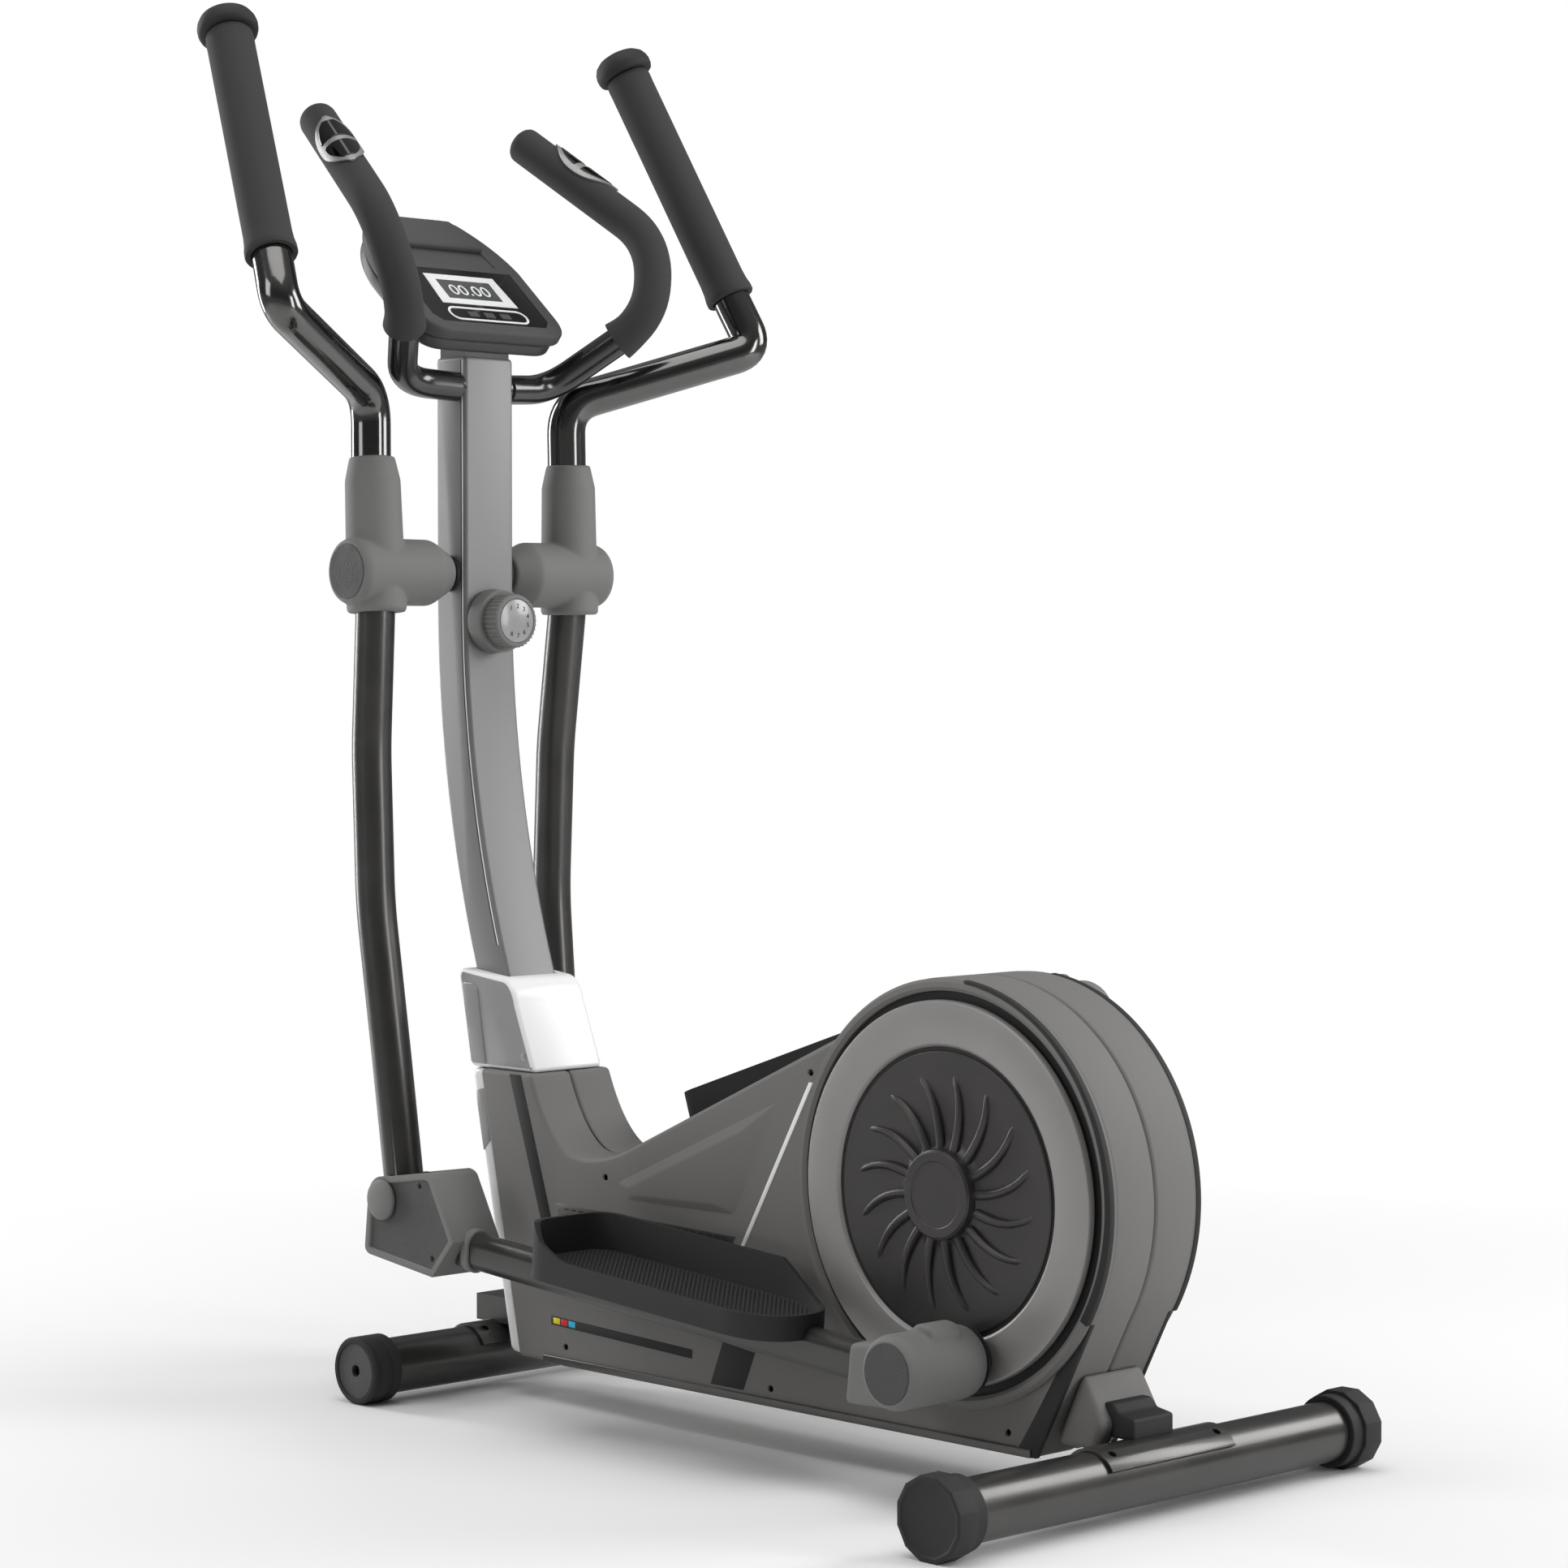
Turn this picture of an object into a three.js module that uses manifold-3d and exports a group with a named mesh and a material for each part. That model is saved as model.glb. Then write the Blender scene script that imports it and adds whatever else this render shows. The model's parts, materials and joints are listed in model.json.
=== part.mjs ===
// Elliptical trainer: a front-mast cross trainer with swinging arms, pedal bars and a belt-driven flywheel.
// Millimetres, +Z up. -X is the front (mast), +X the rear (crank housing), -Y the user's left.
// The origin is on the floor, under the middle of the machine's bounding box.
import * as THREE from "three";
import { mergeVertices } from "three/addons/utils/BufferGeometryUtils.js";
import Module from "manifold-3d";

const wasm = await Module();
wasm.setup();

// ---------------------------------------------------------------- driving dimensions
const GAP = 0.35; // clearance between neighbouring solids
const LEFT = -1; // side signs along Y
const RIGHT = 1;
const SIDES = [["left", LEFT], ["right", RIGHT]];

const CENTRE_SHIFT = -3.85; // puts the origin under the middle of the whole machine
const TEE = { x: -465, z: 931 }; // axle of the swinging arms
const CRANK = { x: 355, z: 297 }; // axle of the crank discs
const ARM_LENGTH = 708; // arm axle to pedal-bar pivot
const BAR_LENGTH = 818; // pedal-bar pivot to crank pin
const CRANK_RADIUS = 165;
const CRANK_PHASE = 15.5; // degrees that the left pin is rearward of straight down
const ARM_PLANE = 145; // |Y| of the arm tubes and pedal bars

const REAR_TUBE = { x: 566, z: 40.18, r: 31, half: 305 };
const REAR_CAP = { r: 41.6, end: 315, length: 42, collar: 16, collarR: 37, sides: 12 };
const FRONT_TUBE = { x: -408, z: 37.6, r: 31, half: 214 };
const ROLLER = { r: 37.6, end: 223.5, length: 40, sides: 36 };

const MAST = { x: -464, depth: 54, half: 36, wall: 3, bendTop: 900, bendR: 1300, top: 1180, foot: 330 };
const COVER = { half: 60, wall: 3, floor: 46, seam: 366 };
const DRUM = { r: 216, inner: 203, half: 68 };
const NOSE = { x: -348, z: 64, lean: -0.211, depth: 26 }; // sloping front edge of the housing
const COLLAR = { half: 52, top: 478 };

const DISC = { r: 194, inner: 63.5, outer: 73.7, recess: 147, recessFloor: 68.7 };
const INSERT = { r: 146, face: 71.4, hubR: 45, hubFace: 85.6 };
const PIN = { r: 13, end: 86.5 };
const CRANK_AXLE = { r: 12, half: 66 };
const PULLEY = { r: 150, y0: 24, y1: 40 };
const FLYWHEEL = { x: 39, z: 208, r: 100, y0: -22, y1: 10, pulleyR: 22, axleR: 8 };
const BRAKE_PIN = { x: -62, z: 130, r: 5 };
const BELT = { thick: 3, y0: 26, y1: 38 };
const IDLER = { x: 186, z: 133.5, r: 20, pinR: 6 };

const RAIL = { half: 25, z0: 62, z1: 100 };
const SPIGOT_GAP = 1.4; // play between the neck spigot and the inside of the mast
const ARM_TUBE_R = 22.5;
const GRIP_R = 27;
const FIXED_TUBE_R = 17;
const FIXED_GRIP_R = 22;
const AXLE_R = 12.8;
const BOLT_R = 8;

// Corners of half the fixed handlebar, from the mast outwards and up to the end of the grip.
const FIXED = { x: -452, z: 1145 };
const FIXED_CORNERS = [
  [FIXED.x, 36, FIXED.z],
  [-462, 109, 1149],
  [-361, 183, 1232],
  [-381, 205, 1324],
  [-564, 152, 1454],
];
const FIXED_RADII = [70, 85, 100];
const FIXED_GRIP_START = 0.3; // fraction of the half bar where the foam begins

// Corners of an arm tube in the arm's own frame: x rearward, y outward, z up from the axle.
const ARM_CORNERS = [
  [0, ARM_PLANE, -700],
  [-13, ARM_PLANE, -548],
  [-29, ARM_PLANE, -377],
  [-23, ARM_PLANE, -200],
  [-2, ARM_PLANE, -30],
  [-2, ARM_PLANE - 3, 130],
  [-1, ARM_PLANE - 6, 202],
  [109, 343, 274],
  [85, 332, 324],
  [-48, 278, 601],
];
const ARM_RADII = [500, 500, 500, 400, 200, 78, 70, 60];
const GRIP_FROM = [85, 332, 324];
const GRIP_TO = [-55, 275, 615];
const GRIP_REACH = 318; // distance from GRIP_FROM to the top of the foam

const BEAM = { drop: -38.4, slope: 1.88, front: 66, rear: 768, tall: 21, half: 14 };
const PEDAL = { x0: 278, x1: 662, near: 90, far: 210, skirt: 8, floor: 22, tread: 27, lip: 34, wall: 67 };

const CONSOLE = { x: -419, z: 1212, tilt: 41, thick: 36, split: -17, reach: 215 };
const WINDOW = { depth: 3, thick: 2.6 };
const BUTTON = { w: 15, d: 9, v: 24, pitch: 24, proud: 1.2, under: -1.8 };
const KNOB = { z: 876, r: 29, baseR: 37, face: -389, joint: -412 };

// ---------------------------------------------------------------- finishes
function finish(color, roughness, metalness) {
  return new THREE.MeshStandardMaterial({ color, roughness, metalness });
}
const FINISH = {
  frame: () => finish("#6d6c6b", 0.45, 0.55),
  mast: () => finish("#5f5e5d", 0.42, 0.5),
  tube: () => finish("#2f2f30", 0.22, 0.85),
  cover: () => finish("#5b5957", 0.4, 0.25),
  white: () => finish("#f2f2f2", 0.25, 0.0),
  ring: () => finish("#a3a1a0", 0.38, 0.45),
  insert: () => finish("#4e4b4a", 0.42, 0.3),
  joint: () => finish("#6b6a69", 0.6, 0.15),
  black: () => finish("#141414", 0.55, 0.0),
  foam: () => finish("#2a2a2a", 0.9, 0.0),
  console: () => finish("#3c3b3b", 0.5, 0.1),
  gloss: () => finish("#050505", 0.08, 0.0),
  steel: () => finish("#b8b8b8", 0.3, 0.95),
  iron: () => finish("#4a4a4a", 0.6, 0.7),
  rubber: () => finish("#1b1b1b", 0.8, 0.0),
};

// ---------------------------------------------------------------- solid helpers
function signedVolume(geometry) {
  const p = geometry.attributes.position;
  const index = geometry.index;
  const [a, b, c] = [new THREE.Vector3(), new THREE.Vector3(), new THREE.Vector3()];
  let total = 0;
  for (let i = 0; i < index.count; i += 3) {
    a.fromBufferAttribute(p, index.getX(i));
    b.fromBufferAttribute(p, index.getX(i + 1));
    c.fromBufferAttribute(p, index.getX(i + 2));
    total += a.dot(b.cross(c));
  }
  return total;
}

// A closed three.js geometry as a solid that can be joined and cut.
function solid(source) {
  let geometry = source.clone();
  geometry.deleteAttribute("normal");
  geometry.deleteAttribute("uv");
  geometry = mergeVertices(geometry, 1e-3);
  const triVerts = Uint32Array.from(geometry.index.array);
  if (signedVolume(geometry) < 0) {
    for (let i = 0; i < triVerts.length; i += 3) {
      [triVerts[i + 1], triVerts[i + 2]] = [triVerts[i + 2], triVerts[i + 1]];
    }
  }
  const vertProperties = Float32Array.from(geometry.attributes.position.array);
  return new wasm.Manifold(new wasm.Mesh({ numProp: 3, vertProperties, triVerts }));
}

function surface(body) {
  const mesh = body.getMesh();
  const geometry = new THREE.BufferGeometry();
  geometry.setAttribute("position", new THREE.BufferAttribute(new Float32Array(mesh.vertProperties), 3));
  geometry.setIndex(new THREE.BufferAttribute(new Uint32Array(mesh.triVerts), 1));
  geometry.computeVertexNormals();
  return geometry;
}

function join(...bodies) {
  return bodies.reduce((sum, body) => sum.add(body));
}

function cut(body, ...tools) {
  return tools.reduce((rest, tool) => rest.subtract(tool), body);
}

// A closed outline of [a, b] points.
function outline(points) {
  return new THREE.Shape(points.map(([a, b]) => new THREE.Vector2(a, b)));
}

// An XZ outline extruded along Y from y0 to y1, with its long edges rounded by bevel.
function prism(shape, y0, y1, bevel = 0, curveSegments = 8) {
  const geometry = new THREE.ExtrudeGeometry(shape, {
    depth: y1 - y0 - 2 * bevel,
    steps: 1,
    curveSegments,
    bevelEnabled: bevel > 0,
    bevelSize: bevel,
    bevelThickness: bevel,
    bevelOffset: -bevel,
    bevelSegments: 1,
  });
  geometry.rotateX(Math.PI / 2);
  geometry.translate(0, y1 - bevel, 0);
  return solid(geometry);
}

// An XY outline extruded along Z from z0 to z1.
function slab(shape, z0, z1, bevel = 0) {
  const geometry = new THREE.ExtrudeGeometry(shape, {
    depth: z1 - z0 - 2 * bevel,
    steps: 1,
    curveSegments: 5,
    bevelEnabled: bevel > 0,
    bevelSize: bevel,
    bevelThickness: bevel,
    bevelOffset: -bevel,
    bevelSegments: 1,
  });
  geometry.translate(0, 0, z0 + bevel);
  return solid(geometry);
}

function block([x0, x1], [y0, y1], [z0, z1]) {
  const geometry = new THREE.BoxGeometry(x1 - x0, y1 - y0, z1 - z0);
  geometry.translate((x0 + x1) / 2, (y0 + y1) / 2, (z0 + z1) / 2);
  return solid(geometry);
}

// A round bar or cone from point a (radius ra) to point b (radius rb).
function rod(a, b, ra, rb = ra, sides = 16) {
  const from = new THREE.Vector3(...a);
  const along = new THREE.Vector3(...b).sub(from);
  const geometry = new THREE.CylinderGeometry(rb, ra, along.length(), sides);
  geometry.translate(0, along.length() / 2, 0);
  const up = new THREE.Vector3(0, 1, 0);
  geometry.applyQuaternion(new THREE.Quaternion().setFromUnitVectors(up, along.clone().normalize()));
  geometry.translate(from.x, from.y, from.z);
  return solid(geometry);
}

// A round bar along Y, round the axis through centre, from y0 to y1.
function bar(centre, y0, y1, r, sides = 16) {
  return rod([centre.x, y0, centre.z], [centre.x, y1, centre.z], r, r, sides);
}

// A profile of [radius, y] points turned about the Y axis through (x, z).
function turned(profile, x, z, sides = 32) {
  const geometry = new THREE.LatheGeometry(profile.map(([r, y]) => new THREE.Vector2(r, y)), sides);
  geometry.translate(x, 0, z);
  return solid(geometry);
}

// A path through corner points, each corner rounded by its own radius.
function roundedPath(corners, radii) {
  const points = corners.map((corner) => new THREE.Vector3(...corner));
  const path = new THREE.CurvePath();
  let start = points[0];
  for (let i = 1; i < points.length - 1; i += 1) {
    const back = points[i - 1].clone().sub(points[i]);
    const ahead = points[i + 1].clone().sub(points[i]);
    const half = back.angleTo(ahead) / 2;
    const reach = Math.min(radii[i - 1] / Math.tan(half), 0.48 * back.length(), 0.48 * ahead.length());
    const enter = points[i].clone().addScaledVector(back.normalize(), reach);
    const leave = points[i].clone().addScaledVector(ahead.normalize(), reach);
    path.add(new THREE.LineCurve3(start, enter));
    path.add(new THREE.QuadraticBezierCurve3(enter, points[i], leave));
    start = leave;
  }
  path.add(new THREE.LineCurve3(start, points[points.length - 1]));
  return path;
}

// The stretch of a path between two fractions of its length, as its own smooth curve.
function stretch(path, from, to, count) {
  const points = [];
  for (let i = 0; i <= count; i += 1) {
    points.push(path.getPointAt(from + ((to - from) * i) / count));
  }
  return new THREE.CatmullRomCurve3(points);
}

function circle(r, sides) {
  const points = [];
  for (let i = 0; i < sides; i += 1) {
    const angle = (i / sides) * 2 * Math.PI;
    points.push([r * Math.cos(angle), r * Math.sin(angle)]);
  }
  return points;
}

function pipe(path, r, sides, steps) {
  const geometry = new THREE.ExtrudeGeometry(outline(circle(r, sides)), { steps, extrudePath: path });
  return solid(geometry);
}

// A sleeve round a path, with a bore, as one ring section drawn along the path.
function sleeve(path, r, bore, sides, steps) {
  const shape = outline(circle(r, sides));
  shape.holes.push(new THREE.Path(circle(bore, sides).map(([a, b]) => new THREE.Vector2(a, b))));
  return solid(new THREE.ExtrudeGeometry(shape, { steps, extrudePath: path }));
}

// Two |Y| distances on one side of the machine as an ordered Y range.
function across(side, near, far) {
  return side > 0 ? [near, far] : [-far, -near];
}

const degrees = THREE.MathUtils.degToRad;
const machine = new THREE.Group();
machine.position.x = CENTRE_SHIFT;

function place(parent, name, body, material) {
  const mesh = new THREE.Mesh(surface(body), material);
  mesh.name = name;
  parent.add(mesh);
}

// ---------------------------------------------------------------- mast and neck
// Side outline of a stretch of the mast; grow widens it on every side.
function mastOutline(z0, z1, halfDepth) {
  const bendFoot = Math.asin((MAST.bendTop - z0) / MAST.bendR);
  const bendHead = Math.asin(Math.max(0, MAST.bendTop - z1) / MAST.bendR);
  const centreX = MAST.x + MAST.bendR;
  const rim = (offset, angle) => [
    centreX - (MAST.bendR + offset) * Math.cos(angle),
    MAST.bendTop - (MAST.bendR + offset) * Math.sin(angle),
  ];
  const steps = 10;
  const front = [];
  const rear = [];
  for (let i = 0; i <= steps; i += 1) {
    const angle = bendFoot + ((bendHead - bendFoot) * i) / steps;
    front.push(rim(halfDepth, angle));
    rear.push(rim(-halfDepth, angle));
  }
  if (z1 > MAST.bendTop) {
    front.push([MAST.x - halfDepth, z1]);
    rear.push([MAST.x + halfDepth, z1]);
  }
  return outline([...front, ...rear.reverse()]);
}

const MAST_HALF_DEPTH = MAST.depth / 2;
const mastEnvelope = prism(
  mastOutline(MAST.foot - 60, MAST.top, MAST_HALF_DEPTH + 1),
  -MAST.half - 0.5,
  MAST.half + 0.5,
);

function buildMast() {
  const outer = prism(mastOutline(MAST.foot, MAST.top, MAST_HALF_DEPTH), -MAST.half, MAST.half, 4);
  const hollowHalf = MAST.half - MAST.wall;
  const hollowOutline = mastOutline(MAST.foot - 20, MAST.top + 20, MAST_HALF_DEPTH - MAST.wall);
  const hollow = prism(hollowOutline, -hollowHalf, hollowHalf);
  const axleHole = bar(TEE, -60, 60, AXLE_R + GAP);
  const barHole = bar(FIXED, -60, 60, FIXED_TUBE_R + GAP);
  const cableHole = rod([MAST.x, 0, KNOB.z], [MAST.x + 60, 0, KNOB.z], 7);
  place(machine, "mast", cut(outer, hollow, axleHole, barHole, cableHole), FINISH.mast());
}

// ---------------------------------------------------------------- fixed handlebar

function halfFixedPath(side) {
  return roundedPath(FIXED_CORNERS.map(([x, y, z]) => [x, y * side, z]), FIXED_RADII);
}

function buildFixedHandlebar() {
  const halves = SIDES.map(([, side]) => {
    return pipe(stretch(halfFixedPath(side), 0, 0.98, 14), FIXED_TUBE_R, 8, 14);
  });
  const middle = bar(FIXED, -36.5, 36.5, FIXED_TUBE_R - 0.2, 8);
  place(machine, "fixed_handlebar", join(middle, ...halves), FINISH.tube());
  for (const [label, side] of SIDES) {
    const path = halfFixedPath(side);
    const end = path.getPointAt(1);
    const grip = sleeve(stretch(path, FIXED_GRIP_START, 0.99, 11), FIXED_GRIP_R, FIXED_TUBE_R + 2.2, 10, 11);
    const tip = path.getPointAt(0.988);
    const dome = rod(tip.toArray(), end.toArray(), FIXED_GRIP_R, FIXED_GRIP_R - 6, 10);
    const closed = join(grip, dome);
    place(machine, `fixed_grip_${label}`, closed, FINISH.foam());
    buildPulseSensor(label, side);
  }
}

// A plastic saddle with contact plates, clipped on the upper rear side of the foam.
function buildPulseSensor(label, side) {
  const tip = new THREE.Vector3(...FIXED_CORNERS[4]);
  const bend = new THREE.Vector3(...FIXED_CORNERS[3]);
  const along = tip.clone().sub(bend).normalize();
  const facing = new THREE.Vector3(0.5, 0.5, 0.7);
  const out = facing.addScaledVector(along, -facing.dot(along)).normalize();
  const beside = new THREE.Vector3().crossVectors(along, out);
  const centre = tip.clone().addScaledVector(along, -96);
  const shape = new THREE.Shape();
  const [inner, outer] = [FIXED_GRIP_R + 0.5, FIXED_GRIP_R + 3.5];
  shape.absarc(0, 0, outer, degrees(15), degrees(165), false);
  shape.absarc(0, 0, inner, degrees(165), degrees(15), true);
  const length = 100;
  const options = { depth: length, bevelEnabled: false, curveSegments: 12 };
  const geometry = new THREE.ExtrudeGeometry(shape, options);
  geometry.translate(0, 0, -length / 2);
  geometry.applyMatrix4(new THREE.Matrix4().makeBasis(beside, out, along.clone().negate()));
  geometry.translate(centre.x, centre.y, centre.z);
  geometry.scale(1, side, 1);
  place(machine, `pulse_sensor_${label}`, solid(geometry), FINISH.ring());
}

// ---------------------------------------------------------------- main frame inside the housing

function buildMainFrame() {
  const rail = block([FRONT_TUBE.x - 26, 470], [-RAIL.half, RAIL.half], [RAIL.z0 + 8, RAIL.z1]);
  const tailOutline = outline([[440, 70], [440, 100], [556, 92], [566, 92], [566, 73.6], [556, 73.6]]);
  const tail = prism(tailOutline, -RAIL.half, RAIL.half);
  const neckOutline = outline([
    [-316, 95], [-262, 95], [-268, 230], [-302, 330], [-362, 330], [-344, 240], [-328, 150],
  ]);
  const neck = prism(neckOutline, -RAIL.half, RAIL.half);
  const spigotHalf = MAST.half - MAST.wall - SPIGOT_GAP;
  const spigotDepth = MAST_HALF_DEPTH - MAST.wall - SPIGOT_GAP;
  const spigotOutline = mastOutline(MAST.foot - 40, MAST.foot + 60, spigotDepth);
  const spigot = prism(spigotOutline, -spigotHalf, spigotHalf);
  const mastRoom = prism(mastOutline(MAST.foot - GAP, MAST.foot + 200, MAST_HALF_DEPTH + 30), -60, 60);
  const mastKeepOut = cut(mastRoom, spigot);
  const post = block([CRANK.x - 22, CRANK.x + 22], [-50, -18], [90, CRANK.z]);
  const postFoot = block([CRANK.x - 30, CRANK.x + 30], [-50, 10], [88, 104]);
  const barrel = bar(CRANK, -52, 18, 26);
  const cross = block([FLYWHEEL.x - 24, FLYWHEEL.x + 24], [-40, 50], [88, 104]);
  const leftPlate = block([FLYWHEEL.x - 20, FLYWHEEL.x + 20], [-36, -30], [92, 236]);
  const rightPlateOutline = outline([
    [FLYWHEEL.x - 20, 92], [FLYWHEEL.x + 24, 92],
    [IDLER.x + 14, 120], [IDLER.x + 14, 148],
    [FLYWHEEL.x + 21, 236], [FLYWHEEL.x - 20, 236],
  ]);
  const rightPlate = prism(rightPlateOutline, 44, 49);
  const idlerPin = bar(IDLER, 24, 46, IDLER.pinR);
  const brakePost = block([BRAKE_PIN.x - 8, BRAKE_PIN.x + 8], [-36, -28], [92, BRAKE_PIN.z + 8]);
  const brakeFoot = block([BRAKE_PIN.x - 8, BRAKE_PIN.x + 8], [-36, 0], [92, 104]);
  const brakePin = bar(BRAKE_PIN, -30, 14, BRAKE_PIN.r);
  const frame = join(rail, tail, neck, spigot, post, postFoot, barrel, cross, leftPlate, rightPlate);
  const fitted = join(frame, idlerPin, brakePost, brakeFoot, brakePin);
  const crankBore = bar(CRANK, -60, 30, CRANK_AXLE.r + GAP);
  const flywheelBore = bar(FLYWHEEL, -60, 60, FLYWHEEL.axleR + GAP);
  const frontTube = bar(FRONT_TUBE, -60, 60, FRONT_TUBE.r + 4.5);
  place(machine, "main_frame", cut(fitted, crankBore, flywheelBore, mastKeepOut, frontTube), FINISH.frame());
}

// A curved plate lying on a stabiliser tube.
function saddle(tube, halfWidth, spread) {
  const shape = new THREE.Shape();
  const [inner, outer] = [tube.r + GAP, tube.r + 3.6];
  shape.absarc(0, 0, outer, degrees(90 - spread), degrees(90 + spread), false);
  shape.absarc(0, 0, inner, degrees(90 + spread), degrees(90 - spread), true);
  return prism(shape, -halfWidth, halfWidth).translate([tube.x, 0, tube.z]);
}

function buildStabilizers() {
  const rear = bar(REAR_TUBE, -REAR_TUBE.half, REAR_TUBE.half, REAR_TUBE.r, 32);
  const front = bar(FRONT_TUBE, -FRONT_TUBE.half, FRONT_TUBE.half, FRONT_TUBE.r, 32);
  place(machine, "rear_stabilizer", rear, FINISH.frame());
  place(machine, "front_stabilizer", front, FINISH.frame());
  place(machine, "rear_saddle", cut(saddle(REAR_TUBE, 92, 62), tailKeepOut()), FINISH.frame());
  place(machine, "front_saddle", saddle(FRONT_TUBE, 62, 66), FINISH.frame());
}

// Space that the frame's tail takes above the rear tube.
function tailKeepOut() {
  return block([430, 566 + GAP], [-RAIL.half - GAP, RAIL.half + GAP], [73.6 - GAP, 120]);
}

function ringAlongY(x, z, outer, inner, [y0, y1], sides) {
  const profile = [[inner, y0], [outer, y0], [outer, y1], [inner, y1], [inner, y0]];
  return turned(profile, x, z, sides);
}

function buildFeet() {
  for (const [label, side] of SIDES) {
    const { r, end, length, collar, collarR, sides } = REAR_CAP;
    const turn = Math.PI / sides;
    const rim = circle(r, sides).map(([a, b]) => [
      a * Math.cos(turn) - b * Math.sin(turn),
      a * Math.sin(turn) + b * Math.cos(turn),
    ]);
    const facets = prism(outline(rim), ...across(side, end - length + collar, end), 2);
    const head = facets.translate([REAR_TUBE.x, 0, REAR_TUBE.z]);
    const neck = bar(REAR_TUBE, side * (end - length), side * (end - 10), collarR, 32);
    const pocket = bar(REAR_TUBE, side * 200, side * (REAR_TUBE.half + GAP), REAR_TUBE.r + GAP, 32);
    place(machine, `rear_cap_${label}`, cut(join(head, neck), pocket), FINISH.black());

    const wheelStart = side * (ROLLER.end - ROLLER.length);
    const wheel = bar(FRONT_TUBE, wheelStart, side * ROLLER.end, ROLLER.r, ROLLER.sides);
    const socket = bar(FRONT_TUBE, side * 150, side * (FRONT_TUBE.half + GAP), FRONT_TUBE.r + GAP, 32);
    place(machine, `front_roller_${label}`, cut(wheel, socket), FINISH.rubber());
  }
}

// ---------------------------------------------------------------- housing
function noseX(z) {
  return NOSE.x + NOSE.lean * (z - NOSE.z);
}

// Side outline of the covers, drawn inset by a wall thickness.
function coverOutline(inset) {
  const shape = new THREE.Shape();
  const front = NOSE.depth + 0.4 + inset;
  const floor = COVER.floor + inset;
  const r = DRUM.r - inset;
  shape.moveTo(noseX(floor) + front, floor);
  shape.lineTo(468 - inset, floor);
  shape.lineTo(CRANK.x + r * Math.cos(degrees(-31)), CRANK.z + r * Math.sin(degrees(-31)));
  shape.absarc(CRANK.x, CRANK.z, r, degrees(-31), degrees(137), false);
  shape.lineTo(-116 + inset * 0.4, 304 - inset);
  shape.quadraticCurveTo(-190, 268 - inset, -236 - inset * 0.6, 284 - inset * 0.4);
  shape.quadraticCurveTo(-272 - inset, 302, -297 - inset, COVER.seam - inset);
  shape.lineTo(noseX(COVER.seam - inset) + front, COVER.seam - inset);
  shape.closePath();
  return shape;
}

function buildCovers() {
  const railPath = block([-520, 640], [-RAIL.half - 1, RAIL.half + 1], [RAIL.z0, RAIL.z1 + 6]);
  for (const [label, side] of SIDES) {
    const skin = prism(coverOutline(0), ...across(side, 0.2, COVER.half), 0, 10);
    const hollow = prism(coverOutline(COVER.wall), ...across(side, -1, COVER.half - COVER.wall), 0, 10);
    const drumDepth = across(side, COVER.half - 1, DRUM.half);
    const drum = ringAlongY(CRANK.x, CRANK.z, DRUM.r - 0.5, DRUM.inner, drumDepth, 32);
    const axleHole = bar(CRANK, 0, side * 90, 50);
    const mastTop = block([-420, -280], across(side, -1, MAST.half + 1), [COVER.seam - 10, COVER.seam + 10]);
    const shell = cut(join(cut(skin, hollow), drum), axleHole, railPath, mastTop);
    place(machine, `${label}_cover`, shell, FINISH.cover());
  }
  const strip = outline([
    [noseX(COVER.floor), COVER.floor],
    [noseX(COVER.floor) + NOSE.depth, COVER.floor],
    [noseX(COVER.seam) + NOSE.depth, COVER.seam],
    [noseX(COVER.seam), COVER.seam],
  ]);
  const stripHollow = outline([
    [noseX(30) + 4, 30],
    [noseX(30) + 60, 30],
    [noseX(400) + 60, 400],
    [noseX(400) + 4, 400],
  ]);
  const frontCover = cut(prism(strip, -52, 52, 8), prism(stripHollow, -47, 47), railPath);
  place(machine, "front_cover", frontCover, FINISH.white());
}

function buildCollar() {
  const z0 = COVER.seam + 0.4;
  const shape = new THREE.Shape();
  shape.moveTo(noseX(z0), z0);
  shape.lineTo(-299, z0);
  shape.lineTo(-330, 441);
  shape.quadraticCurveTo(-336, 466, -352, 470);
  shape.lineTo(-424, COLLAR.top);
  shape.quadraticCurveTo(noseX(COLLAR.top), COLLAR.top, noseX(466), 466);
  shape.closePath();
  const collar = cut(prism(shape, -COLLAR.half, COLLAR.half, 6), mastEnvelope);
  place(machine, "neck_collar", collar, FINISH.white());
}

function buildRearTubeCover() {
  const wedge = outline([[514, 134], [543, 86], [532, 60], [481, 60], [491, 84]]);
  const path = block([430, 640], [-RAIL.half - 1, RAIL.half + 1], [20, 104]);
  const tube = bar(REAR_TUBE, -70, 70, REAR_TUBE.r + 5);
  place(machine, "rear_tube_cover", cut(prism(wedge, -46, 46, 5), path, tube), FINISH.cover());
}

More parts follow.
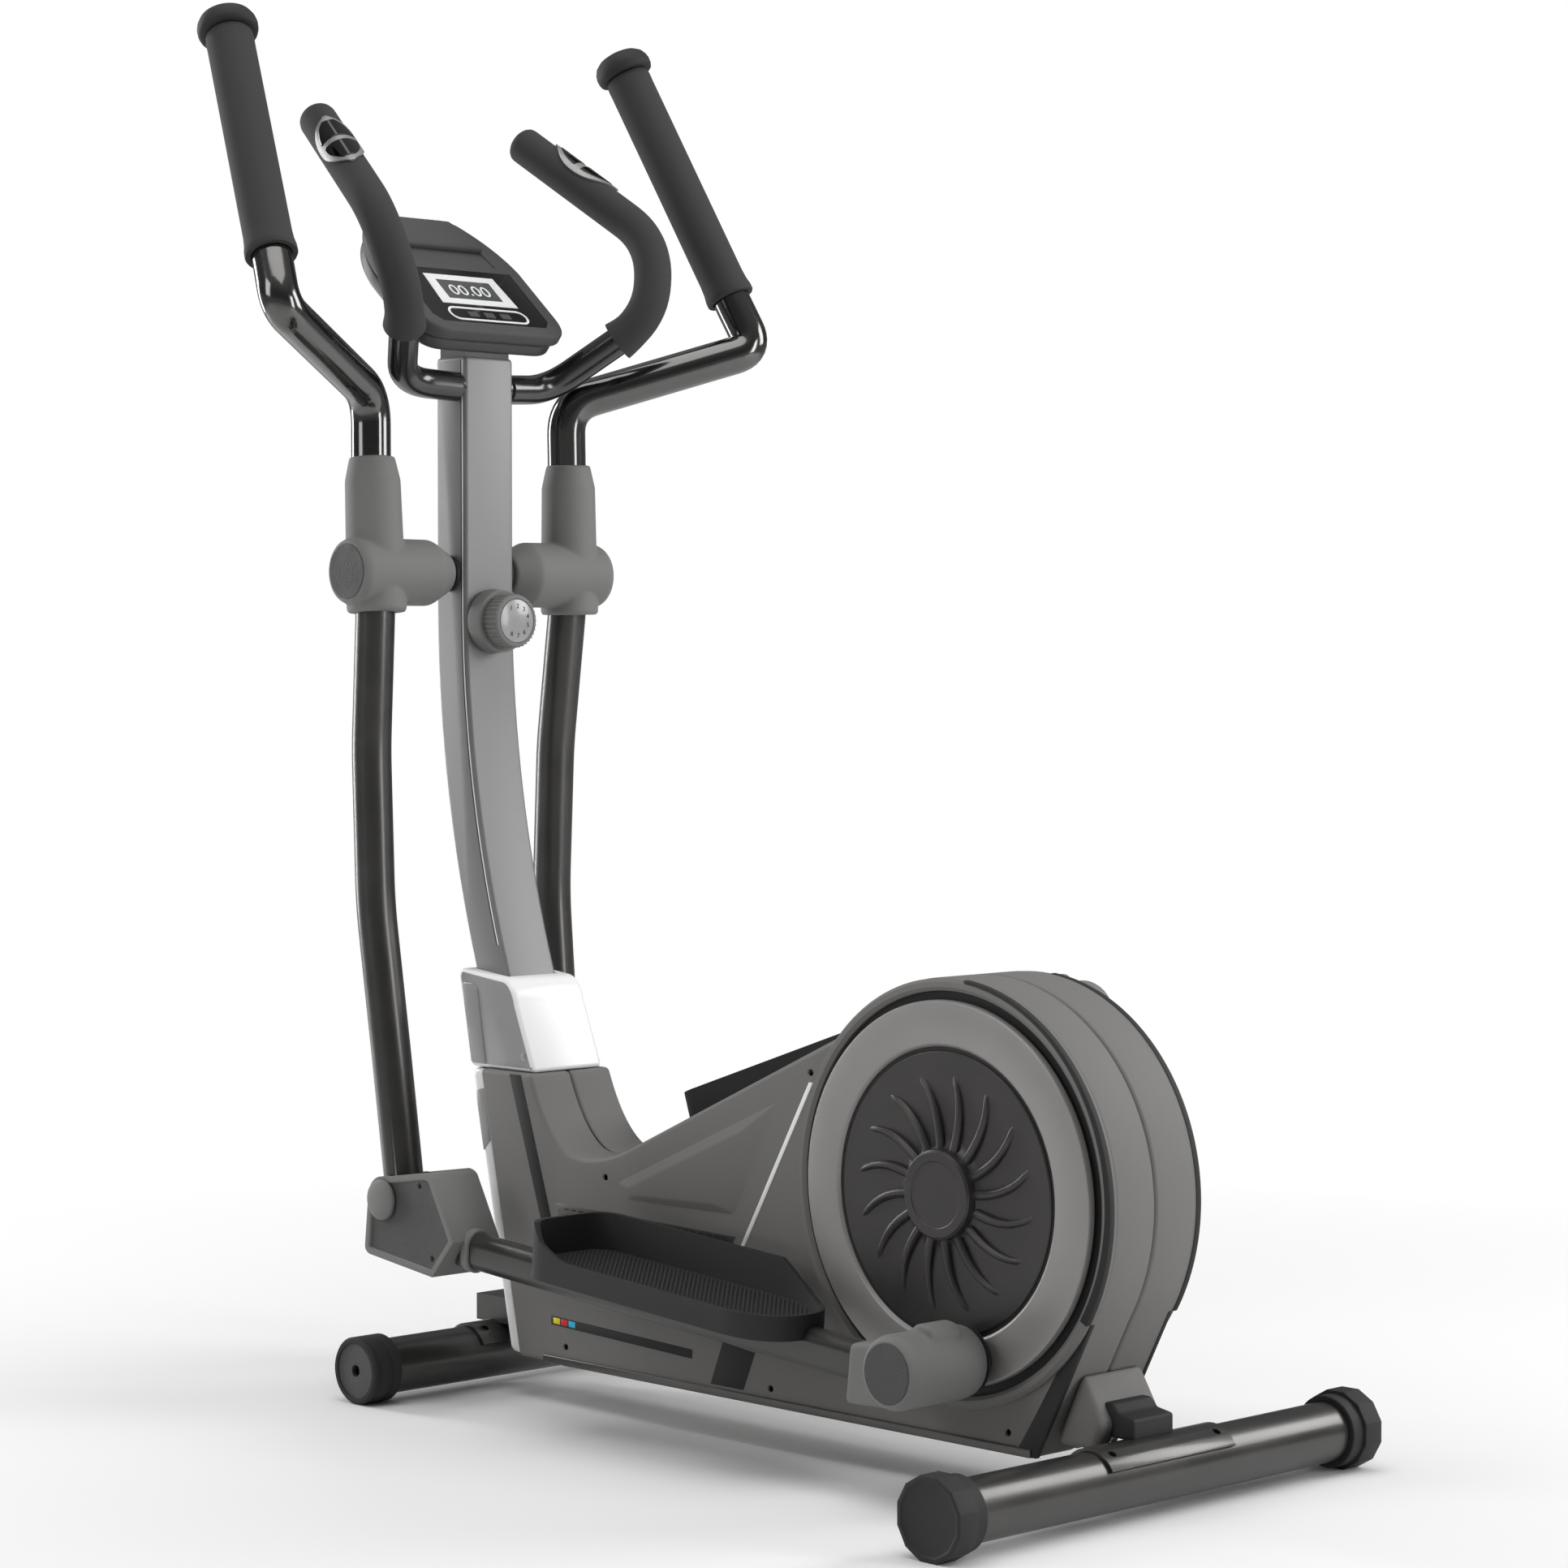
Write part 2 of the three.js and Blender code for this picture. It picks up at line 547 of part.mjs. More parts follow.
// ---------------------------------------------------------------- drive
function buildCrank() {
  const axle = bar(CRANK, -CRANK_AXLE.half, CRANK_AXLE.half, CRANK_AXLE.r);
  place(machine, "crank_axle", axle, FINISH.steel());
  const bore = CRANK_AXLE.r + GAP;
  const { y0, y1 } = PULLEY;
  const wheel = ringAlongY(CRANK.x, CRANK.z, PULLEY.r, 132, [y0, y1], 28);
  const web = ringAlongY(CRANK.x, CRANK.z, 133, bore, [y0 + 6, y1 - 6], 14);
  const hub = ringAlongY(CRANK.x, CRANK.z, 30, bore, [y0, y1 + 6], 14);
  place(machine, "crank_pulley", join(wheel, web, hub), FINISH.black());
  for (const [label, side] of SIDES) {
    const y = (distance) => side * distance;
    const disc = [
      [bore, y(DISC.inner - 6)], [40, y(DISC.inner - 6)], [46, y(DISC.inner)], [DISC.r, y(DISC.inner)],
      [DISC.r, y(DISC.outer - 2)], [DISC.r - 2, y(DISC.outer)], [DISC.recess + 3, y(DISC.outer)],
      [DISC.recess, y(DISC.outer - 2)], [DISC.recess, y(DISC.recessFloor)], [bore, y(DISC.recessFloor)],
      [bore, y(DISC.inner - 6)],
    ];
    place(machine, `crank_disc_${label}`, turned(disc, CRANK.x, CRANK.z, 32), FINISH.ring());
    const back = DISC.recessFloor + GAP;
    const insert = [
      [0, y(back)], [INSERT.r, y(back)], [INSERT.r, y(INSERT.face)], [INSERT.hubR + 3, y(INSERT.face)],
      [INSERT.hubR, y(INSERT.face + 3)], [INSERT.hubR, y(INSERT.hubFace - 3)],
      [INSERT.hubR - 3, y(INSERT.hubFace)], [0, y(INSERT.hubFace)],
    ];
    place(machine, `disc_insert_${label}`, turned(insert, CRANK.x, CRANK.z, 24), FINISH.insert());
    const reach = side * CRANK_RADIUS;
    const angle = degrees(CRANK_PHASE);
    const x = CRANK.x - reach * Math.sin(angle);
    const z = CRANK.z + reach * Math.cos(angle);
    const pin = rod([x, y(DISC.outer + GAP), z], [x, y(PIN.end), z], PIN.r + 4, PIN.r, 24);
    place(machine, `crank_pin_${label}`, pin, FINISH.black());
  }
}

// Outline of a band wrapped round two wheels of radii ra and rb.
function bandOutline(a, ra, b, rb) {
  const heading = Math.atan2(b.z - a.z, b.x - a.x);
  const spread = Math.acos((ra - rb) / Math.hypot(b.x - a.x, b.z - a.z));
  const points = [];
  const steps = 22;
  for (let i = 0; i <= steps; i += 1) {
    const angle = heading + spread + ((2 * Math.PI - 2 * spread) * i) / steps;
    points.push([a.x + ra * Math.cos(angle), a.z + ra * Math.sin(angle)]);
  }
  for (let i = 0; i <= 8; i += 1) {
    const angle = heading - spread + (2 * spread * i) / 8;
    points.push([b.x + rb * Math.cos(angle), b.z + rb * Math.sin(angle)]);
  }
  return points;
}

function buildDrive() {
  const grip = 1.2; // running clearance that keeps the faceted loop clear of its wheels
  const back = grip + BELT.thick;
  const outer = bandOutline(CRANK, PULLEY.r + back, FLYWHEEL, FLYWHEEL.pulleyR + back);
  const inner = bandOutline(CRANK, PULLEY.r + grip, FLYWHEEL, FLYWHEEL.pulleyR + grip);
  const loop = cut(prism(outline(outer), BELT.y0, BELT.y1), prism(outline(inner), BELT.y0 - 5, BELT.y1 + 5));
  place(machine, "drive_belt", loop, FINISH.rubber());
  const bore = FLYWHEEL.axleR + GAP;
  const rim = ringAlongY(FLYWHEEL.x, FLYWHEEL.z, FLYWHEEL.r, bore, [FLYWHEEL.y0, FLYWHEEL.y1], 24);
  const pulley = ringAlongY(FLYWHEEL.x, FLYWHEEL.z, FLYWHEEL.pulleyR, bore, [FLYWHEEL.y1 - 2, 41], 16);
  place(machine, "flywheel", join(rim, pulley), FINISH.iron());
  const axle = bar(FLYWHEEL, -44, 54, FLYWHEEL.axleR);
  place(machine, "flywheel_axle", axle, FINISH.steel());
  const idler = ringAlongY(IDLER.x, IDLER.z, IDLER.r, IDLER.pinR + GAP, [BELT.y0, BELT.y1], 16);
  place(machine, "idler", idler, FINISH.black());

  const arc = new THREE.Shape();
  const middle = Math.atan2(BRAKE_PIN.z - FLYWHEEL.z, BRAKE_PIN.x - FLYWHEEL.x);
  const [from, to] = [middle, middle - degrees(95)];
  arc.absarc(FLYWHEEL.x, FLYWHEEL.z, FLYWHEEL.r + 18, from, to, true);
  arc.absarc(FLYWHEEL.x, FLYWHEEL.z, FLYWHEEL.r + 5, to, from, false);
  const shoe = prism(arc, -24, 12, 0, 12);
  const eye = bar(BRAKE_PIN, -24, 12, 13, 20);
  const wheelRoom = bar(FLYWHEEL, -40, 40, FLYWHEEL.r + 5, 24);
  const pinHole = bar(BRAKE_PIN, -60, 60, BRAKE_PIN.r + GAP);
  place(machine, "brake_bracket", cut(join(shoe, eye), wheelRoom, pinHole), FINISH.steel());
}

// ---------------------------------------------------------------- swinging arms

function towards(from, to, distance) {
  const a = new THREE.Vector3(...from);
  const b = new THREE.Vector3(...to);
  return a.addScaledVector(b.sub(a).normalize(), distance);
}

function mirrored(point, side) {
  return [point[0], point[1] * side, point[2]];
}

function buildArm(label, side, swing) {
  const arm = new THREE.Group();
  arm.position.set(TEE.x, 0, TEE.z);
  arm.rotation.y = -swing;
  machine.add(arm);

  const path = roundedPath(ARM_CORNERS.map((corner) => mirrored(corner, side)), ARM_RADII);
  const tube = pipe(stretch(path, 0, 1, 30), ARM_TUBE_R, 10, 30);
  const pivot = { x: 0, z: 0 };
  const foot = { x: 0, z: -ARM_LENGTH };
  const hub = bar(pivot, side * 76, side * 166, 26, 14);
  const eye = bar(foot, side * 124, side * 166, 21, 14);
  const axleBore = bar(pivot, side * 60, side * 165, AXLE_R + GAP);
  const boltBore = bar(foot, side * 100, side * 190, BOLT_R + GAP);
  const armTube = cut(join(tube, hub, eye), axleBore, boltBore);
  place(arm, `arm_tube_${label}`, armTube, FINISH.tube());

  const column = rod([0, side * ARM_PLANE, -44], [0, side * (ARM_PLANE - 2), 106], 34, 31);
  const cone = rod([0, side * (ARM_PLANE - 2), 105.5], [0, side * (ARM_PLANE - 3), 130], 31, 25.5);
  const y = (distance) => side * distance;
  const barrel = [
    [0, y(46)], [22, y(46)], [37, y(70)], [38.5, y(181)], [33, y(186)], [0, y(186)],
  ];
  const shell = join(column, cone, turned(barrel, 0, 0, 20));
  const tubeRoom = rod([-3, y(ARM_PLANE), -60], [-3, y(ARM_PLANE - 3), 150], ARM_TUBE_R + 2);
  const hubRoom = bar(pivot, y(75), y(167), 27.4, 14);
  const axleRoom = bar(pivot, y(40), y(80), 18.5);
  place(arm, `tee_cover_${label}`, cut(shell, tubeRoom, hubRoom, axleRoom), FINISH.joint());

  const from = mirrored(GRIP_FROM, side);
  const to = mirrored(GRIP_TO, side);
  const gripEnd = towards(from, to, GRIP_REACH).toArray();
  const grip = rod(towards(from, to, 12).toArray(), gripEnd, GRIP_R, GRIP_R, 18);
  const core = rod(towards(from, to, 4).toArray(), to, ARM_TUBE_R + 1.2, ARM_TUBE_R + 1.2, 12);
  place(arm, `arm_grip_${label}`, cut(grip, core), FINISH.foam());
  buildArmKnob(arm, label, from, to);
}

// The mushroom-shaped end cap above the foam.
function buildArmKnob(arm, label, from, to) {
  const start = towards(from, to, GRIP_REACH + GAP);
  const along = new THREE.Vector3(...to).sub(new THREE.Vector3(...from)).normalize();
  const profile = [[0, 0], [30, 0], [34, 5], [34.5, 12], [31, 20], [20, 27], [0, 30]];
  const geometry = new THREE.LatheGeometry(profile.map(([r, h]) => new THREE.Vector2(r, h)), 16);
  geometry.applyQuaternion(new THREE.Quaternion().setFromUnitVectors(new THREE.Vector3(0, 1, 0), along));
  geometry.translate(start.x, start.y, start.z);
  place(arm, `arm_knob_${label}`, solid(geometry), FINISH.black());
}

// ---------------------------------------------------------------- pedal bars

// Flat-sided oval section of the pedal bar, grown by a clearance, as a solid along the beam.
function beamSolid(x0, x1, side, grow) {
  const [w, h] = [BEAM.half + grow, BEAM.tall + grow];
  const shape = new THREE.Shape();
  const straight = h - w;
  shape.absarc(0, straight, w, 0, Math.PI, false);
  shape.absarc(0, -straight, w, Math.PI, 2 * Math.PI, false);
  shape.closePath();
  const options = { depth: x1 - x0, bevelEnabled: false, curveSegments: 6 };
  const geometry = new THREE.ExtrudeGeometry(shape, options);
  geometry.rotateX(Math.PI / 2);
  geometry.rotateZ(Math.PI / 2);
  geometry.translate(x0, side * ARM_PLANE, 0);
  return solid(geometry);
}

function tiltedBeam(body) {
  return body.rotate([0, -BEAM.slope, 0]).translate([0, 0, BEAM.drop]);
}

function pedalOutline(side, inset) {
  const { x0, x1, near, far } = PEDAL;
  const [a, b] = [x0 + inset, x1 - inset];
  const [n, f] = [near + inset, far - inset];
  const middle = (near + far) / 2;
  const shape = new THREE.Shape();
  const y = (distance) => side * distance;
  shape.moveTo(a + 30, y(n));
  shape.lineTo(b - 95, y(n));
  shape.quadraticCurveTo(b, y(n + 6), b, y(middle));
  shape.quadraticCurveTo(b, y(f), b - 70, y(f));
  shape.lineTo(a + 40, y(f));
  shape.quadraticCurveTo(a, y(f), a, y(f - 40));
  shape.lineTo(a, y(n + 30));
  shape.quadraticCurveTo(a, y(n), a + 30, y(n));
  return shape;
}

function pedalSolid(side) {
  const { x0, x1, near, far, skirt, floor, tread, lip, wall } = PEDAL;
  const body = slab(pedalOutline(side, 0), skirt, wall);
  const tray = slab(pedalOutline(side, 6), tread, wall + 5);
  const under = slab(pedalOutline(side, 5), skirt - 5, floor);
  const outerCut = prism(
    outline([[x0 + 12, wall + 5], [x0 + 24, wall - 8], [x0 + 60, lip], [x1 + 5, lip], [x1 + 5, wall + 5]]),
    ...across(side, (near + far) / 2 + 12, far + 5),
  );
  const rearCut = prism(
    outline([[x1 - 110, wall + 5], [x1 - 96, wall - 4], [x1 - 30, lip], [x1 + 5, lip], [x1 + 5, wall + 5]]),
    ...across(side, near - 5, far + 5),
  );
  return cut(body, tray, under, outerCut, rearCut, beamSolid(x0 - 40, x1 + 40, side, 0.7));
}

function buildBar(label, side, pivot, tilt) {
  const link = new THREE.Group();
  link.position.set(pivot.x, 0, pivot.z);
  link.rotation.y = -tilt;
  machine.add(link);
  const y = (distance) => side * distance;

  place(link, `pedal_bar_${label}`, tiltedBeam(beamSolid(BEAM.front, BEAM.rear, side, 0)), FINISH.tube());
  place(link, `pedal_${label}`, tiltedBeam(pedalSolid(side)), FINISH.black());

  const cheek = new THREE.Shape();
  cheek.moveTo(-26, 0);
  cheek.lineTo(-26, -58);
  cheek.quadraticCurveTo(-25, -65, -16, -66);
  cheek.lineTo(96, -68);
  cheek.lineTo(128, -22);
  cheek.lineTo(84, 40);
  cheek.quadraticCurveTo(78, 45, 68, 44);
  cheek.lineTo(0, 26);
  cheek.absarc(0, 0, 26, degrees(90), degrees(180), false);
  const body = prism(cheek, ...across(side, 112, 178), 3, 5);
  const slot = block([-60, 66], across(side, 122, 168), [-32, 70]);
  const beamRoom = tiltedBeam(beamSolid(BEAM.front - GAP, 200, side, GAP));
  const boltHole = bar({ x: 0, z: 0 }, y(100), y(190), BOLT_R + GAP);
  place(link, `front_joint_cover_${label}`, cut(body, slot, beamRoom, boltHole), FINISH.joint());

  const bolt = [
    [0, y(108)], [BOLT_R, y(108)], [BOLT_R, y(178.4)], [23, y(178.4)],
    [23, y(181)], [17, y(184.5)], [0, y(186)],
  ];
  place(link, `pivot_bolt_${label}`, turned(bolt, 0, 0, 20), FINISH.steel());

  const bearing = [
    [0, y(88.3)], [31, y(88.3)], [36, y(94)], [37.5, y(193)], [32, y(199)], [0, y(199)],
  ];
  const clampOutline = outline([[736, -54], [736, 8], [800, 24], [818, 20], [818, -30], [790, -46]]);
  const clamp = prism(clampOutline, ...across(side, 119, 171), 5);
  const bump = prism(outline([[806, 20], [812, 44], [836, 44], [842, 20]]), ...across(side, 118, 158), 3);
  const pinHole = bar({ x: BAR_LENGTH, z: 0 }, y(80), y(120), 9);
  const beamPocket = tiltedBeam(beamSolid(600, BEAM.rear + GAP, side, GAP));
  const joint = join(turned(bearing, BAR_LENGTH, 0, 20), clamp, bump);
  place(link, `rear_joint_cover_${label}`, cut(joint, pinHole, beamPocket), FINISH.joint());
}

// ---------------------------------------------------------------- console and tension knob
function consoleOutline(inset) {
  const reach = CONSOLE.reach - inset;
  const half = 106 - inset;
  const shape = new THREE.Shape();
  shape.moveTo(-half + 34, -8 + inset);
  shape.lineTo(half - 34, -8 + inset);
  shape.quadraticCurveTo(half, -8 + inset, half, 30);
  shape.lineTo(half, 118);
  shape.quadraticCurveTo(half - 6, 168, half - 40, reach - 6);
  shape.quadraticCurveTo(half - 48, reach, half - 62, reach);
  shape.lineTo(-half + 62, reach);
  shape.quadraticCurveTo(-half + 48, reach, -half + 40, reach - 6);
  shape.quadraticCurveTo(-half + 6, 168, -half, 118);
  shape.lineTo(-half, 30);
  shape.quadraticCurveTo(-half, -8 + inset, -half + 34, -8 + inset);
  return shape;
}

function windowOutline(inset) {
  const half = 86 - inset;
  return outline([
    [-half + 10, 8 + inset], [half - 10, 8 + inset], [half, 20],
    [half, 112 - inset], [-half, 112 - inset], [-half, 20],
  ]);
}

// Console pieces are drawn flat (x across, y up the slope, z out of the face), then stood on the mast.
function standConsole(body) {
  return body.rotate([0, 0, 90]).rotate([0, CONSOLE.tilt, 0]).translate([CONSOLE.x, 0, CONSOLE.z]);
}

function buildConsole() {
  const { thick, split } = CONSOLE;
  const base = standConsole(slab(consoleOutline(5), -thick, split - GAP, 4));
  const inner = MAST.half - MAST.wall - GAP;
  const depth = MAST_HALF_DEPTH - MAST.wall - GAP;
  const plug = block([MAST.x - depth, MAST.x + depth], [-inner, inner], [FIXED.z + FIXED_TUBE_R + 4, 1208]);
  const above = standConsole(block([-80, 80], [-40, 200], [split - GAP - 8, 60]));
  const lowerShell = cut(join(base, cut(plug, above)), cut(mastEnvelope, plug));
  place(machine, "console_base", lowerShell, FINISH.console());

  const recess = slab(windowOutline(0), -WINDOW.depth, 10);
  const lid = cut(slab(consoleOutline(0), split, 0, 5), recess);
  place(machine, "console_top", standConsole(lid), FINISH.console());

  const holes = [-1, 0, 1].map((column) => {
    return buttonSlab(column, BUTTON.w / 2 + GAP, BUTTON.d / 2 + GAP, -10, 10);
  });
  const glass = cut(slab(windowOutline(GAP), -WINDOW.depth + GAP, -WINDOW.depth + WINDOW.thick), ...holes);
  place(machine, "console_window", standConsole(glass), FINISH.gloss());
  ["left", "middle", "right"].forEach((label, i) => {
    const key = buttonSlab(i - 1, BUTTON.w / 2, BUTTON.d / 2, BUTTON.under, BUTTON.proud);
    place(machine, `button_${label}`, standConsole(key), FINISH.black());
  });
}

function buttonSlab(column, halfWidth, halfDepth, z0, z1) {
  const x = column * BUTTON.pitch;
  return block([x - halfWidth, x + halfWidth], [BUTTON.v - halfDepth, BUTTON.v + halfDepth], [z0, z1]);
}

function buildKnob() {
  const face = MAST.x + MAST_HALF_DEPTH;
  const flange = rod([face, 0, KNOB.z], [face + 6, 0, KNOB.z], 31, KNOB.baseR, 28);
  const drum = rod([face + 6, 0, KNOB.z], [KNOB.joint - GAP, 0, KNOB.z], KNOB.baseR, KNOB.baseR - 2, 28);
  const socket = rod([KNOB.joint - 12, 0, KNOB.z], [KNOB.joint + 5, 0, KNOB.z], 9, 9, 16);
  place(machine, "knob_base", cut(join(flange, drum), socket, mastEnvelope), FINISH.joint());
  const body = rod([KNOB.joint, 0, KNOB.z], [KNOB.face, 0, KNOB.z], KNOB.r + 2, KNOB.r, 30);
  const stem = rod([KNOB.joint - 11, 0, KNOB.z], [KNOB.joint + 1, 0, KNOB.z], 8.5, 8.5, 16);
  place(machine, "tension_knob", join(body, stem), FINISH.joint());
}

function buildArmAxle() {
  const shaft = bar(TEE, -160, 160, AXLE_R);
  const collars = SIDES.map(([, side]) => bar(TEE, side * (MAST.half + GAP), side * 60, 17));
  place(machine, "arm_axle", join(shaft, ...collars), FINISH.steel());
}

// ---------------------------------------------------------------- rest pose of the linkage
// Lower arm pivot that lies ARM_LENGTH from the arm axle and BAR_LENGTH from the crank pin.
function lowerPivot(pin) {
  const [dx, dz] = [pin.x - TEE.x, pin.z - TEE.z];
  const span = Math.hypot(dx, dz);
  const along = (ARM_LENGTH ** 2 - BAR_LENGTH ** 2 + span ** 2) / (2 * span);
  const off = Math.sqrt(ARM_LENGTH ** 2 - along ** 2);
  return {
    x: TEE.x + (along * dx) / span + (off * dz) / span,
    z: TEE.z + (along * dz) / span - (off * dx) / span,
  };
}

buildMainFrame();
buildMast();
buildStabilizers();
buildFeet();
buildCovers();
buildCollar();
buildRearTubeCover();
buildCrank();
buildDrive();
buildArmAxle();
buildFixedHandlebar();
buildConsole();
buildKnob();
for (const [label, side] of SIDES) {
  const angle = degrees(CRANK_PHASE);
  const pin = {
    x: CRANK.x - side * CRANK_RADIUS * Math.sin(angle),
    z: CRANK.z + side * CRANK_RADIUS * Math.cos(angle),
  };
  const pivot = lowerPivot(pin);
  buildArm(label, side, Math.atan2(pivot.x - TEE.x, TEE.z - pivot.z));
  buildBar(label, side, pivot, Math.atan2(pin.z - pivot.z, pin.x - pivot.x));
}

export default machine;
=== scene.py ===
"""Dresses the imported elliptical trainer: fine meshes, procedural finishes, studio light and camera.

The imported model's frame holds: metres, +Z up, -X towards the mast, -Y the user's left. Pieces are drawn in
millimetres, in upright or leaning local frames, and scaled as they are placed.
"""
import json
import logging
import math
from collections.abc import Callable
from dataclasses import dataclass
from enum import Enum

import bpy
from mathutils import Euler, Matrix, Vector


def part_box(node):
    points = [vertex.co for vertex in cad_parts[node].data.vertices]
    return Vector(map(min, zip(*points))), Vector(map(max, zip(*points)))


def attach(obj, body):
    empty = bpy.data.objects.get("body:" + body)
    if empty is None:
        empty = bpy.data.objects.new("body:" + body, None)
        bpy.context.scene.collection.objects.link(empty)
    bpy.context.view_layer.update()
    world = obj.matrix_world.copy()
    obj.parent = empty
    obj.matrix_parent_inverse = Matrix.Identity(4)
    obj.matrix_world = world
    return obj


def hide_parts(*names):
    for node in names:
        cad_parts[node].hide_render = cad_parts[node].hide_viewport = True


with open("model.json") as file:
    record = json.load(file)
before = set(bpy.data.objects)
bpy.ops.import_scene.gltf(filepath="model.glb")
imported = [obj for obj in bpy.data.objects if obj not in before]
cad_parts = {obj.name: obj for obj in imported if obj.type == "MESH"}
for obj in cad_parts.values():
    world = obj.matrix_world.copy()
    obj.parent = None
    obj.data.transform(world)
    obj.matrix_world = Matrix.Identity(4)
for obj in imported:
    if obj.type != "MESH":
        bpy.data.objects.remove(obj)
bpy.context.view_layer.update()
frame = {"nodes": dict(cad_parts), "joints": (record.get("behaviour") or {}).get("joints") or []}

LOG = logging.getLogger("elliptical_trainer")
Piece = bpy.types.Object
Tree = bpy.types.NodeTree
Socket = bpy.types.NodeSocket
Point = tuple[float, float, float]
Flat = tuple[float, float]
Colour = tuple[float, float, float]
MM = 0.001  # metres in a millimetre


class Side(float, Enum):
    """A side of the machine; its value is the sign of its Y direction."""

    LEFT = -1.0
    RIGHT = 1.0

    @property
    def label(self) -> str:
        """Gives the side's word in the names of pieces."""
        return self.name.lower()


class Slot(Enum):
    """The record's material slots."""

    FRAME = "painted_frame"
    MAST = "mast_paint"
    TUBE = "dark_tube"
    STEEL = "bright_steel"
    HOUSING = "housing_plastic"
    JOINT = "joint_plastic"
    BLACK = "black_plastic"
    CONSOLE = "console_plastic"
    RING = "disc_ring"
    INSERT = "disc_centre"
    WHITE = "white_gloss"
    WINDOW = "window_gloss"
    FOAM = "foam"
    RUBBER = "rubber"


# ---------------------------------------------------------------- places read from the frame
def joint_place(name: str) -> Vector:
    """Gives the place of a joint's axis.

    Args:
        name: the joint's name in the record.

    Returns:
        The joint's place in the row frame.
    """
    return Vector(next(joint["pos_m"] for joint in frame["joints"] if joint["name"] == name))


def middle(node: str) -> Vector:
    """Gives the middle of a CAD node's box."""
    low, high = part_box(node)
    return (low + high) / 2


CRANK = joint_place("crank_spin")
TEE = joint_place("left_arm_swing")
REAR_TUBE = joint_place("left_rear_foot_turn")
FRONT_TUBE = joint_place("left_roller_spin")
KNOB = joint_place("tension_turn")
CENTRE = CRANK.x - 0.355  # the drawing's origin lies this far in front of the crank axle


def drawn(place: Vector) -> Flat:
    """Gives a place's x and z in the drawing, in millimetres."""
    return (place.x - CENTRE) / MM, place.z / MM


@dataclass(frozen=True)
class Datum:
    """A local frame in millimetres that leans about the Y axis: an origin in metres and a turn."""

    origin: Vector
    turn: float = 0.0

    def matrix(self) -> Matrix:
        """Gives the matrix from the local frame to the row frame."""
        return Matrix.Translation(self.origin) @ Matrix.Rotation(self.turn, 4, "Y") @ Matrix.Scale(MM, 4)


def on_drawing() -> Datum:
    """Gives the upright drawing frame of the whole machine."""
    return Datum(Vector((CENTRE, 0.0, 0.0)))


def on_arm(side: Side) -> Datum:
    """Gives the frame of a swinging arm, with its origin on the arm axle.

    Args:
        side: the side that it is on.

    Returns:
        The arm's frame at rest.
    """
    foot = joint_place(f"{side.label}_bar_pivot") - TEE
    return Datum(Vector((TEE.x, 0.0, TEE.z)), -math.atan2(foot.x, -foot.z))


def on_bar(side: Side) -> Datum:
    """Gives the frame of a pedal bar, with its origin on the lower arm pivot.

    Args:
        side: the side that it is on.

    Returns:
        The bar's frame at rest.
    """
    pivot = joint_place(f"{side.label}_bar_pivot")
    pin = middle(f"crank_pin_{side.label}")
    return Datum(Vector((pivot.x, 0.0, pivot.z)), -math.atan2(pin.z - pivot.z, pin.x - pivot.x))


# ---------------------------------------------------------------- shader groups
class Group(Enum):
    """The shader groups that the finishes share."""

    GRAIN = "surface_grain"
    WEAR = "edge_wear"
    DUST = "settled_dust"


def new_group(kind: Group, inputs: dict[str, float], outputs: tuple[str, ...]) -> Tree:
    """Makes an empty shader group with its sockets.

    Args:
        kind: which shared effect the group is.
        inputs: the float inputs with their default values.
        outputs: the names of the float outputs.

    Returns:
        The new node tree, with its input and output nodes named in and out.
    """
    tree = bpy.data.node_groups.new(kind.value, "ShaderNodeTree")
    for name, value in inputs.items():
        socket = tree.interface.new_socket(name, in_out="INPUT", socket_type="NodeSocketFloat")
        socket.default_value = value
    for name in outputs:
        tree.interface.new_socket(name, in_out="OUTPUT", socket_type="NodeSocketFloat")
    tree.nodes.new("NodeGroupInput").name = "in"
    tree.nodes.new("NodeGroupOutput").name = "out"
    return tree


def fed(tree: Tree, kind: str, *sources: Socket) -> bpy.types.Node:
    """Adds a shader node and links sources to its first inputs, in order.

    Args:
        tree: the tree to add to.
        kind: the node's type without its first word.
        *sources: the sockets that feed it.

    Returns:
        The new node.
    """
    node = tree.nodes.new(f"ShaderNode{kind}")
    for source, socket in zip(sources, node.inputs):
        tree.links.new(source, socket)
    return node


def ramp(tree: Tree, source: Socket, low: float, high: float) -> Socket:
    """Stretches a value between two limits to 0..1, clamped.

    Args:
        tree: the tree to add to.
        source: the value.
        low: the value that becomes 0.
        high: the value that becomes 1.

    Returns:
        The stretched value.
    """
    node = fed(tree, "MapRange", source)
    node.inputs["From Min"].default_value = low
    node.inputs["From Max"].default_value = high
    return node.outputs["Result"]


def product(tree: Tree, first: Socket, second: Socket) -> Socket:
    """Multiplies two values.

    Args:
        tree: the tree to add to.
        first: one value.
        second: the other value.

    Returns:
        Their product.
    """
    node = fed(tree, "Math", first, second)
    node.operation = "MULTIPLY"
    return node.outputs["Value"]


def speckle(tree: Tree, scale: Socket, detail: float, roughness: float = 0.5) -> Socket:
    """Makes noise that sits on a piece by its Object coordinates.

    Args:
        tree: the tree to add to.
        scale: the noise's scale.
        detail: how many finer layers it has.
        roughness: how strong the finer layers are.

    Returns:
        The noise's value.
    """
    node = fed(tree, "TexNoise", tree.nodes.new("ShaderNodeTexCoord").outputs["Object"])
    node.inputs["Detail"].default_value = detail
    node.inputs["Roughness"].default_value = roughness
    tree.links.new(scale, node.inputs["Scale"])
    return node.outputs["Fac"]


